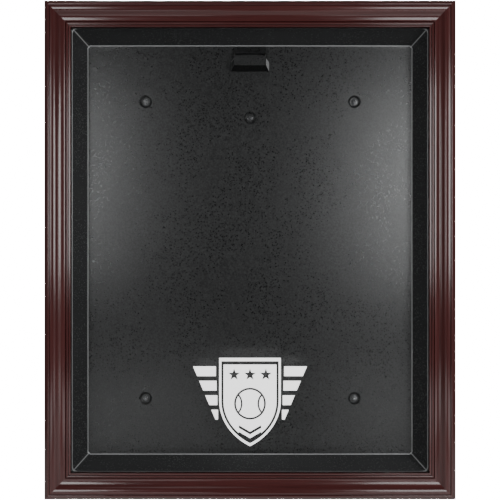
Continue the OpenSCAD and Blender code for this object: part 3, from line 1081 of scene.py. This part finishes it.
@dataclass
class Metalwork:
    """Hinges, strikes, magnets, hangers and every carried-over fastener."""

    finishes: dict[str, Finish] = field(
        default_factory=lambda: {
            "door_corner_nails": ZINC,
            "hinge_door_leaves": BRASS,
            "hinge_door_screws": BRASS,
            "hinge_case_leaves": BRASS,
            "hinge_case_screws": BRASS,
            "hinge_pins": BRASS,
            "catch_strikes": ZINC,
            "catch_strike_screws": ZINC,
            "catch_magnets": NICKEL,
            "case_corner_nails": ZINC,
            "tray_flange_screws": BLACK_SCREW,
            "back_board_screws": ZINC,
            "hanger_plates": ZINC,
            "hanger_plate_screws": ZINC,
        }
    )

    def build(self) -> None:
        """Dresses each node in its plating."""
        for node, finish in self.finishes.items():
            dress_node(node, finish)


# ---------------------------------------------------------------- case


@dataclass
class CaseFrame:
    """The four mitred sides of the case, rabbeted for the tray and the back board."""

    board_rabbet: tuple[float, float] = (7 * MM, 6 * MM)
    flange_rabbet: tuple[float, float] = (9 * MM, 2 * MM)
    eased: float = 0.8 * MM
    plate: float = 13 * MM
    pocket: float = 4.75 * MM
    pocket_deep: float = 9 * MM
    slot_rise: float = 16 * MM

    def section(self, deep: float, thick: float) -> list[tuple[float, float]]:
        """The side's section.

        Args:
            deep: the depth of the case.
            thick: the thickness of a side.

        Returns:
            Points (u, h) with u from the outer face and h from the wall.
        """
        board_wide, board_deep = self.board_rabbet
        flange_wide, flange_deep = self.flange_rabbet
        return [
            (0, 0),
            (0, deep),
            (thick - flange_wide, deep),
            (thick - flange_wide, deep - flange_deep),
            (thick, deep - flange_deep),
            (thick, board_deep),
            (thick - board_wide, board_deep),
            (thick - board_wide, 0),
        ]

    def hanger_cutter(self, side: int) -> bpy.types.Object:
        """The recess and pocket behind one keyhole plate.

        Args:
            side: -1 for the left plate, 1 for the right one.

        Returns:
            One closed cutter.
        """
        low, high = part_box("hanger_plates")
        inner = high.x - self.plate
        mount = next(m for m in frame["record"]["mounts"] if m["name"] == "keyhole_right")
        entry = Vector(mount["pos_m"])
        ends = sorted((side * inner, side * high.x))
        grow = 0.1 * MM
        recess = add_box(
            "recess_cutter",
            Vector((ends[0] - grow, low.y, low.z - grow)),
            Vector((ends[1] + grow, MM, high.z + grow)),
        )
        across = side * entry.x
        for index, rise in enumerate((0, self.slot_rise)):
            foot = Vector((across, 0.5 * MM, entry.z + rise))
            hole = add_rod(f"pocket_{index}", foot, self.pocket, self.pocket_deep + 0.5 * MM)
            cut(recess, hole, "UNION")
        slot = add_box(
            "slot_cutter",
            Vector((across - self.pocket, -self.pocket_deep, entry.z)),
            Vector((across + self.pocket, 0.4 * MM, entry.z + self.slot_rise)),
        )
        cut(recess, slot, "UNION")
        return recess

    def magnet_cutter(self) -> bpy.types.Object:
        """Blind holes for the two magnets.

        Returns:
            One cutter for both holes.
        """
        low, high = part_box("catch_magnets")
        radius = (high.x - low.x) / 2
        across = (high.x + low.x) / 2
        deep = high.y - low.y + MM
        rods = [
            add_rod(f"magnet_cutter_{z:.3f}", Vector((across, high.y, z)), radius + 0.05 * MM, deep)
            for z in (low.z + radius, high.z - radius)
        ]
        return join(rods, "magnet_cutter")

    def build(self) -> None:
        """Models the sides, cuts them and dresses them."""
        low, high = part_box("case_rail_top")
        _, tall_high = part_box("case_side_right")
        section = self.section(high.y - low.y, high.z - low.z)
        rail = MitredLength(section, high.x - low.x, high.z, 0).build("case_rail_model")
        side = MitredLength(section, 2 * tall_high.z, high.x, 0).build("case_side_model")
        turns = {
            "case_rail_top": (rail, 0, RAIL_WOOD),
            "case_rail_bottom": (rail, 180, RAIL_WOOD),
            "case_side_left": (side, -90, STILE_WOOD),
            "case_side_right": (side, 90, STILE_WOOD),
        }
        for node, (model, degrees, finish) in turns.items():
            piece = copy_of(model, node + "_board", Matrix.Rotation(math.radians(degrees), 4, "Y"))
            if node == "case_side_left":
                cut(piece, self.hanger_cutter(-1))
            if node == "case_side_right":
                cut(piece, self.hanger_cutter(1))
                cut(piece, self.magnet_cutter())
            ease_edges(piece, self.eased)
            smooth(piece)
            dress(piece, finish)
            hand_over(piece, Body.CASE, node)
        for model in (rail, side):
            bpy.data.objects.remove(model, do_unlink=True)
        dress_node("back_board", BOARD)


@dataclass
class Tray:
    """The moulded liner: flange, drafted walls, dimpled back panel and hanger catch."""

    wall: float = 2 * MM
    mouth: tuple[float, float] = (383 * MM, 477.5 * MM)
    draft: float = 18.5 * MM
    corner: float = 9 * MM
    rim_round: float = 2 * MM
    fold_round: float = 1.6 * MM
    dimple: float = 4 * MM
    floor: float = 10 * MM
    dimple_slope: float = 3 * MM
    dimple_round: float = 1.4 * MM
    bolt: float = 2.2 * MM
    screw_head: float = 6.5 * MM
    flange_hole: float = 2.9 * MM
    top_dimple_z: float = 297.5 * MM
    margin: float = 8 * MM
    catch_face: tuple[float, float] = (35.5 * MM, 21.4 * MM)
    catch_base: float = 43.5 * MM
    catch_drop: float = 6.5 * MM
    catch_top: float = 428.4 * MM
    catch_out: float = 25 * MM
    catch_corner: float = 9 * MM
    catch_eased: float = 1.8 * MM
    sunk: float = 1.9 * MM
    ramp_lift: float = 10.5 * MM
    ramp_rise: float = 21.5 * MM
    tongue: float = 4 * MM
    slot: float = 9 * MM
    slot_half: float = 33.5 * MM
    undercut: float = 8 * MM

    def __post_init__(self) -> None:
        """Reads the planes of the tray from the CAD."""
        low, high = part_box("tray")
        self.front = low.y
        self.flange = (high.x, high.z)
        self.panel = high.y - self.wall - self.dimple
        _, screws_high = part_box("tray_screws")
        self.dimple_x = screws_high.x - self.screw_head
        self.dimple_z = screws_high.z - self.screw_head

    def dimple_places(self) -> list[Vector]:
        """The middles of the five dimples.

        Returns:
            Five points in the plane of the back panel.
        """
        places = [(sx * self.dimple_x, sz * self.dimple_z) for sx in (-1, 1) for sz in (-1, 1)]
        return [Vector((x, self.panel, z)) for x, z in (*places, (0, self.top_dimple_z))]

    def shell(self) -> bpy.types.Object:
        """Flange, walls and the panel's margin, open where the back panel goes.

        Returns:
            The skin, with sharp folds.
        """
        bpy.ops.object.select_all(action="DESELECT")
        bpy.ops.mesh.primitive_plane_add(size=2, location=(0, self.front, 0), rotation=(math.pi / 2, 0, 0))
        shell = named("tray_shell")
        shell.scale = (*self.mouth, 1)
        settle(shell)
        half_x, half_z = self.mouth
        deep = self.panel - self.front
        with editing(shell):
            bpy.ops.mesh.select_all(action="SELECT")
            bpy.ops.mesh.extrude_region_move(TRANSFORM_OT_translate={"value": (0, deep, 0)})
            bpy.ops.transform.resize(
                value=((half_x - self.draft) / half_x, 1, (half_z - self.draft) / half_z),
                center_override=(0, self.panel, 0),
            )
            choose(shell, Pick.FACES, lambda f: abs(f.normal.y) > 0.99)
            bpy.ops.mesh.delete(type="ONLY_FACE")
            choose(shell, Pick.EDGES, lambda e: abs(e.verts[0].co.y - e.verts[1].co.y) > deep / 2)
            bpy.ops.mesh.bevel(offset=self.corner, segments=7, affect="EDGES", clamp_overlap=False)
            choose(shell, Pick.EDGES, lambda e: all(abs(v.co.y - self.front) < 1e-6 for v in e.verts))
            bpy.ops.mesh.extrude_edges_move(TRANSFORM_OT_translate={"value": (0, 0, 0)})
            bpy.ops.transform.resize(
                value=((half_x + 12 * MM) / half_x, 1, (half_z + 12 * MM) / half_z),
                center_override=(0, self.front, 0),
            )
            choose(shell, Pick.EDGES, lambda e: all(abs(v.co.y - self.panel) < 1e-6 for v in e.verts))
            bpy.ops.mesh.extrude_edges_move(TRANSFORM_OT_translate={"value": (0, 0, 0)})
            inner_x, inner_z = half_x - self.draft, half_z - self.draft
            bpy.ops.transform.resize(
                value=((inner_x - self.margin) / inner_x, 1, (inner_z - self.margin) / inner_z),
                center_override=(0, self.panel, 0),
            )
        return shell

    def folds(self, shell: bpy.types.Object) -> None:
        """Rounds the rim and the fold at the back panel.

        Args:
            shell: the open shell.
        """
        def on_loop(plane: float) -> Callable[[bmesh.types.BMEdge], bool]:
            """A test for the folded edges in one plane.

            Args:
                plane: the plane's y.

            Returns:
                A test that takes one edge.
            """
            def test(edge: bmesh.types.BMEdge) -> bool:
                """True where a wall meets the flange or the panel."""
                level = all(abs(v.co.y - plane) < 1e-6 for v in edge.verts)
                return level and len(edge.link_faces) == 2 and edge.calc_face_angle(0) > 0.5
            return test

        with editing(shell):
            choose(shell, Pick.EDGES, on_loop(self.front))
            bpy.ops.mesh.bevel(offset=self.rim_round, segments=4, affect="EDGES", clamp_overlap=False)
            choose(shell, Pick.EDGES, on_loop(self.panel))
            bpy.ops.mesh.bevel(offset=self.fold_round, segments=4, affect="EDGES", clamp_overlap=False)

    def dimple_cup(self) -> bpy.types.Object:
        """One dimple at the origin, spun from its section and open at its screw hole.

        Returns:
            The cup, with a flat ring round it.
        """
        drop = self.dimple
        outer = self.floor + self.dimple_slope
        rounded = self.dimple_round
        slope = math.atan2(drop, self.dimple_slope)
        turns = [slope * share / 3 for share in range(4)]
        lip = [
            (outer + rounded * 1.2 - rounded * math.sin(a), rounded * (1 - math.cos(a)))
            for a in turns
        ]
        foot = [
            (self.floor - rounded * 0.6 + rounded * math.sin(a), drop - rounded * (1 - math.cos(a)))
            for a in reversed(turns)
        ]
        section = [(outer + self.margin, 0), *lip, *foot, (self.bolt, drop)]
        cup = draw_chain("dimple_cup", [Vector((r, y, 0)) for r, y in section], closed=False)
        with editing(cup):
            bpy.ops.mesh.select_all(action="SELECT")
            bpy.ops.mesh.spin(steps=48, angle=2 * math.pi, center=(0, 0, 0), axis=(0, 1, 0))
            bpy.ops.mesh.select_all(action="SELECT")
            bpy.ops.mesh.remove_doubles(threshold=1e-6)
        return cup

    def catch_block(self) -> bpy.types.Object:
        """The hanger catch: a drafted tongue, a ramp behind it and the slot between.

        Returns:
            A closed solid whose foot is sunk into the panel.
        """
        half, tall = self.catch_face
        foot = self.panel + self.sunk
        low, top = self.catch_top - tall, self.catch_top
        out = self.panel - self.catch_out
        block = add_box("tray_catch", Vector((-half, out, low)), Vector((half, foot, top)))
        with editing(block):
            choose(block, Pick.FACES, lambda f: f.normal.y > 0.9)
            bpy.ops.transform.resize(value=(self.catch_base / half, 1, 1), center_override=(0, foot, 0))
            choose(block, Pick.VERTS, lambda v: v.co.y > foot - MM and v.co.z < low + MM)
            bpy.ops.transform.translate(value=(0, 0, -self.catch_drop))
            choose(
                block,
                Pick.EDGES,
                lambda e: middle(e).z > top - MM and abs(e.verts[0].co.y - e.verts[1].co.y) > MM,
            )
            bpy.ops.mesh.bevel(offset=self.catch_corner, segments=8, affect="EDGES", clamp_overlap=False)
        slot_front = out + self.tongue
        slot_rear = slot_front + self.slot
        slot_low = low + 3 * MM
        ramp = add_box(
            "tray_ramp",
            Vector((-half, slot_rear, slot_low)),
            Vector((half, foot, top + self.ramp_lift)),
        )
        with editing(ramp):
            choose(ramp, Pick.VERTS, lambda v: v.co.y > foot - MM and v.co.z > top)
            bpy.ops.transform.translate(value=(0, 0, self.ramp_rise))
        cut(block, ramp, "UNION")
        pocket = add_box(
            "tray_slot",
            Vector((-self.slot_half, slot_front, slot_low)),
            Vector((self.slot_half, slot_rear, top + 30 * MM)),
        )
        recess = add_box(
            "tray_undercut",
            Vector((-self.slot_half, slot_front + MM, slot_low)),
            Vector((self.slot_half, slot_rear + self.undercut, top + self.ramp_lift - 0.9 * MM)),
        )
        cut(pocket, recess, "UNION")
        cut(block, pocket)
        close_and_face_out(block, 1e-5)
        ease_edges(block, self.catch_eased, segments=4, sharper_than=28)
        return block

    def build(self) -> None:
        """Joins shell and dimples with one flat panel, thickens the skin and adds the catch."""
        shell = self.shell()
        self.folds(shell)
        cup = self.dimple_cup()
        cups = [
            copy_of(cup, f"dimple_{i}", Matrix.Translation(at))
            for i, at in enumerate(self.dimple_places())
        ]
        bpy.data.objects.remove(cup, do_unlink=True)
        tray = join([shell, *cups], "tray_liner")
        with editing(tray):
            bpy.ops.mesh.select_all(action="SELECT")
            bpy.ops.mesh.remove_doubles(threshold=1e-6)
            choose(
                tray,
                Pick.EDGES,
                lambda e: len(e.link_faces) == 1 and all(abs(v.co.y - self.panel) < 1e-5 for v in e.verts),
            )
            bpy.ops.mesh.fill(use_beauty=True)
            bpy.ops.mesh.select_all(action="SELECT")
            bpy.ops.mesh.normals_make_consistent(inside=False)
        self.square_flange(tray)
        self.face_front(tray)
        apply_modifier(tray, "SOLIDIFY", thickness=self.wall - 0.02 * MM, offset=-1, use_quality_normals=True)
        cut(tray, self.flange_cutter())
        tray = join([tray, self.catch_block()], "tray_liner")
        self.mark_stretch_and_painted_light(tray)
        smooth(tray, 32)
        dress(tray, TRAY_PLASTIC)
        hand_over(tray, Body.CASE, "tray")

    def mark_stretch_and_painted_light(self, tray: bpy.types.Object) -> None:
        """Marks each face for the tray finish: the walls with 0.45, where the sheet was stretched thin and is
        painted paler as painted light; the rim, the folds, the middle of each corner and the catch's corners
        and right cheek with 1.0, where painted highlights go.

        Args:
            tray: the finished liner.
        """
        half_x, half_z = self.mouth
        near_x, near_z = half_x - self.draft - 6 * MM, half_z - self.draft - 6 * MM
        marks = tray.data.attributes.new(STRETCH_AND_PAINTED_LIGHT, "FLOAT", "FACE")
        for face, mark in zip(tray.data.polygons, marks.data):
            at, lean = face.center, abs(face.normal.y)
            across, upright = abs(face.normal.x), abs(face.normal.z)
            outside = abs(at.x) > near_x or abs(at.z) > near_z
            folded = 0.48 < lean < 0.985
            corner = 0.87 < across / max(upright, 1e-6) < 1.15
            # 1.0 marks painted highlights: the rim, the folds, the middle of each corner, and the catch's
            #                               glints and lit cheek.
            if self.painted_glint_on_catch(at, face.normal) or outside and (folded or corner):
                mark.value = 1.0
            # 0.45 marks the walls, smoother and painted paler as painted light.
            elif outside and lean <= 0.48:
                mark.value = 0.45

    def painted_glint_on_catch(self, at: Vector, normal: Vector) -> bool:
        """Says if a face of the catch gets a painted highlight: painted glints on its rounded upper corners
        and painted light on its right cheek, the side the light falls on.

        Args:
            at: the middle of the face.
            normal: the face's normal.

        Returns:
            True for a worn face.
        """
        low = self.catch_top - self.catch_face[1] - 8 * MM
        level = low < at.z < self.catch_top + MM
        on_catch = abs(at.x) < self.catch_base + MM and level and at.y < self.panel - MM
        corner = normal.y < -0.1 and normal.z > 0.15 and abs(normal.x) > 0.15
        return on_catch and (corner or normal.x > 0.8)

    def square_flange(self, tray: bpy.types.Object) -> None:
        """Draws the flange out to its square outer edge.

        Args:
            tray: the joined skin.
        """
        flange_x, flange_z = self.flange
        with editing(tray):
            choose(
                tray,
                Pick.EDGES,
                lambda e: len(e.link_faces) == 1 and all(abs(v.co.y - self.front) < 1e-6 for v in e.verts),
            )
            bpy.ops.mesh.extrude_edges_move(TRANSFORM_OT_translate={"value": (0, 0, 0)})
            skin = bmesh.from_edit_mesh(tray.data)
            half_x, half_z = self.mouth
            for place in (v.co for v in skin.verts if v.select):
                if abs(place.x) > half_x:
                    place.x = math.copysign(flange_x, place.x)
                if abs(place.z) > half_z:
                    place.z = math.copysign(flange_z, place.z)
            bmesh.update_edit_mesh(tray.data)

    def face_front(self, tray: bpy.types.Object) -> None:
        """Turns the skin so that its faces look to the front.

        Args:
            tray: the joined skin.
        """
        flange = max(tray.data.polygons, key=lambda p: p.area)
        if flange.normal.y > 0:
            with editing(tray):
                bpy.ops.mesh.select_all(action="SELECT")
                bpy.ops.mesh.flip_normals()

    def flange_cutter(self) -> bpy.types.Object:
        """A rod for each flange screw, a little fatter than the screw.

        Returns:
            One cutter for all the holes.
        """
        screws = copy_of(frame["nodes"]["tray_flange_screws"], "flange_cutter")
        close_and_face_out(screws, 1e-5)
        rods = []
        with editing(screws):
            bpy.ops.mesh.select_all(action="SELECT")
            bpy.ops.mesh.separate(type="LOOSE")
        only(screws)
        parts = [o for o in bpy.context.scene.objects if o.name.startswith("flange_cutter")]
        for index, part in enumerate(parts):
            corners = [Vector(c) for c in part.bound_box]
            centre = sum(corners, Vector()) / 8
            foot = Vector((centre.x, self.front + 5 * MM, centre.z))
            rods.append(add_rod(f"flange_hole_{index}", foot, self.flange_hole, 6 * MM, 32))
            bpy.data.objects.remove(part, do_unlink=True)
        return join(rods, "flange_holes")


@dataclass
class TrayScrews:
    """Pan-headed screws with broad flanges, one in each dimple."""

    head: float = 6.5 * MM
    dome: float = 4.9 * MM
    tall: float = 2.3 * MM
    shank: float = 2 * MM
    length: float = 7 * MM

    def model(self) -> bpy.types.Object:
        """One screw at the origin, its flange on y = 0 and its head to the front.

        Returns:
            A closed screw with a cross recess.
        """
        section = [
            (0.0001 * MM, self.length),
            (self.shank - 0.4 * MM, self.length),
            (self.shank, self.length - 0.6 * MM),
            (self.shank, 0),
            (self.head - 0.2 * MM, 0),
            *arc((self.head - 0.35 * MM, -0.4 * MM), (0.35 * MM, 0.35 * MM), (0, -90), 4),
            (self.dome + 0.25 * MM, -0.85 * MM),
            *arc((self.dome - 1.6 * MM, -0.9 * MM), (1.6 * MM, self.tall - 0.9 * MM), (0, -90), 6),
            (0.0001 * MM, -self.tall),
        ]
        screw = draw_chain("tray_screw", [Vector((r, y, 0)) for r, y in section], closed=False)
        with editing(screw):
            bpy.ops.mesh.select_all(action="SELECT")
            bpy.ops.mesh.spin(steps=40, angle=2 * math.pi, center=(0, 0, 0), axis=(0, 1, 0))
        close_and_face_out(screw, 2e-6)
        for angle in (20, 110):
            bar = add_box(
                "recess_bar",
                Vector((-2.6 * MM, -self.tall - MM, -0.55 * MM)),
                Vector((2.6 * MM, -self.tall + 1.3 * MM, 0.55 * MM)),
            )
            bar.data.transform(Matrix.Rotation(math.radians(angle), 4, "Y"))
            cut(screw, bar)
        return screw

    def build(self) -> None:
        """Copies the screw into each dimple."""
        tray = Tray()
        seat = Vector((0, tray.dimple, 0))
        model = self.model()
        screws = [
            copy_of(model, f"tray_screw_{i}", Matrix.Translation(at + seat))
            for i, at in enumerate(tray.dimple_places())
        ]
        bpy.data.objects.remove(model, do_unlink=True)
        group = join(screws, "tray_screw_set")
        smooth(group, 35)
        dress(group, BLACK_SCREW)
        hand_over(group, Body.CASE, "tray_screws")


@dataclass
class Bumpers:
    """Soft domed dots between door and case."""

    radius: float = 4 * MM
    rounded: float = 0.6 * MM

    def build(self) -> None:
        """Models one dot and copies it to the four corners."""
        low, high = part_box("door_bumpers")
        tall = high.y - low.y
        radius, rounded = self.radius, self.rounded
        section = [
            (0.0001 * MM, 0),
            (radius, 0),
            *arc((radius - rounded, -tall + rounded), (rounded, rounded), (0, -70), 5),
            (0.0001 * MM, -tall),
        ]
        dot = draw_chain("soft_dot", [Vector((r, y, 0)) for r, y in section], closed=False)
        with editing(dot):
            bpy.ops.mesh.select_all(action="SELECT")
            bpy.ops.mesh.spin(steps=32, angle=2 * math.pi, center=(0, 0, 0), axis=(0, 1, 0))
        close_and_face_out(dot, 2e-6)
        across, upright = high.x - radius, high.z - radius
        places = [Vector((sx * across, high.y, sz * upright)) for sx in (-1, 1) for sz in (-1, 1)]
        dots = [copy_of(dot, f"dot_{i}", Matrix.Translation(at)) for i, at in enumerate(places)]
        bpy.data.objects.remove(dot, do_unlink=True)
        group = join(dots, "bumper_dots")
        smooth(group, 40)
        dress(group, SOFT_DOT)
        hand_over(group, Body.CASE, "door_bumpers")


# ---------------------------------------------------------------- studio


@dataclass
class Studio:
    """Camera, soft lights, pale floor and white surround."""

    edge_plane: float = -75 * MM
    distance: float = 1.20
    half_height: float = 533.75 * MM

    def camera(self) -> None:
        """A camera square to the middle of the door."""
        data = bpy.data.cameras.new("camera")
        data.sensor_width = 36
        data.lens = 18 * self.distance / self.half_height
        camera = bpy.data.objects.new("camera", data)
        bpy.context.scene.collection.objects.link(camera)
        camera.location = (0, self.edge_plane - self.distance, 0)
        camera.rotation_euler = (math.pi / 2, 0, 0)
        bpy.context.scene.camera = camera

    def softbox(self, name: str, at: Sequence[float], aim: Sequence[float], size: tuple[float, float],
                power: float, tone: Sequence[float] = (1, 1, 1)) -> None:
        """Adds one rectangular soft light.

        Args:
            name: its name.
            at: where it stands.
            aim: the point it faces.
            size: its width and height.
            power: its power in watts.
            tone: its colour.
        """
        data = bpy.data.lights.new(name, "AREA")
        data.shape = "RECTANGLE"
        data.size, data.size_y = size
        data.energy = power
        data.color = tone
        lamp = bpy.data.objects.new(name, data)
        bpy.context.scene.collection.objects.link(lamp)
        lamp.location = at
        lamp.rotation_euler = (Vector(aim) - Vector(at)).to_track_quat("-Z", "Y").to_euler()

    def surround(self) -> None:
        """A white background that gives only a dim fill light."""
        world = bpy.data.worlds.new("surround")
        bpy.context.scene.world = world
        world.use_nodes = True
        tree = world.node_tree
        fill = tree.nodes["Background"]
        fill.inputs["Color"].default_value = (1, 1, 1, 1)
        fill.inputs["Strength"].default_value = 0.11
        white = tree.nodes.new("ShaderNodeBackground")
        white.inputs["Strength"].default_value = 24.0
        path = tree.nodes.new("ShaderNodeLightPath")
        mixed = tree.nodes.new("ShaderNodeMixShader")
        tree.links.new(path.outputs["Is Camera Ray"], mixed.inputs[0])
        tree.links.new(fill.outputs[0], mixed.inputs[1])
        tree.links.new(white.outputs[0], mixed.inputs[2])
        tree.links.new(mixed.outputs[0], tree.nodes["World Output"].inputs["Surface"])

    def floor(self) -> None:
        """A pale floor below the case."""
        bpy.ops.object.select_all(action="DESELECT")
        bpy.ops.mesh.primitive_plane_add(size=1, location=(0, -0.35, -0.92))
        floor = named("studio_floor")
        floor.scale = (4.0, 2.0, 1)
        settle(floor)
        nodes = Nodes("pale_floor")
        nodes.set(Base_Color=(0.85, 0.85, 0.84, 1), Roughness=0.7)
        nodes.set(Emission_Color=(1, 1, 1, 1), Emission_Strength=0.12)
        floor.data.materials.append(nodes.material)

    def build(self) -> None:
        """Sets the whole studio."""
        self.camera()
        self.surround()
        self.floor()
        self.softbox("left_box", (-1.15, -2.3, 0.45), (0, -0.05, 0), (0.45, 1.2), 15)
        self.softbox("left_wide_box", (-2.0, -1.9, 0.3), (0, -0.05, 0), (0.7, 1.2), 7)
        self.softbox("right_box", (1.45, -2.2, 0.45), (0, -0.05, 0), (0.5, 1.2), 24)
        self.softbox("right_inner_box", (0.95, -2.3, 0.4), (0, -0.05, 0), (0.45, 1.2), 12)
        self.softbox("right_wide_box", (2.1, -1.9, 0.3), (0, -0.05, 0), (0.7, 1.2), 14)
        self.softbox("low_left_box", (-0.6, -1.5, -0.75), (0, -0.05, 0), (0.9, 0.25), 1.6)
        self.softbox("low_right_box", (0.8, -1.5, -0.75), (0, -0.05, 0), (0.9, 0.25), 1.8)
        self.softbox("top_box", (-0.5, -0.7, 1.8), (0, -0.05, 0), (0.9, 0.6), 1.5)
        self.softbox("rear_box", (0.9, 1.9, 1.1), (0, 0, 0), (1.2, 0.9), 16)


# ---------------------------------------------------------------- assembly


def main() -> None:
    """Builds every sub-assembly in order."""
    logging.basicConfig(level=logging.INFO, format="%(message)s")
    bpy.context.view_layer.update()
    for part in (Studio(), DoorFrame(), Glazing(), CaseFrame(), Tray(), TrayScrews(), Bumpers(), Metalwork()):
        part.build()
        log.info("built %s", type(part).__name__)


if __name__ == "__main__":
    main()
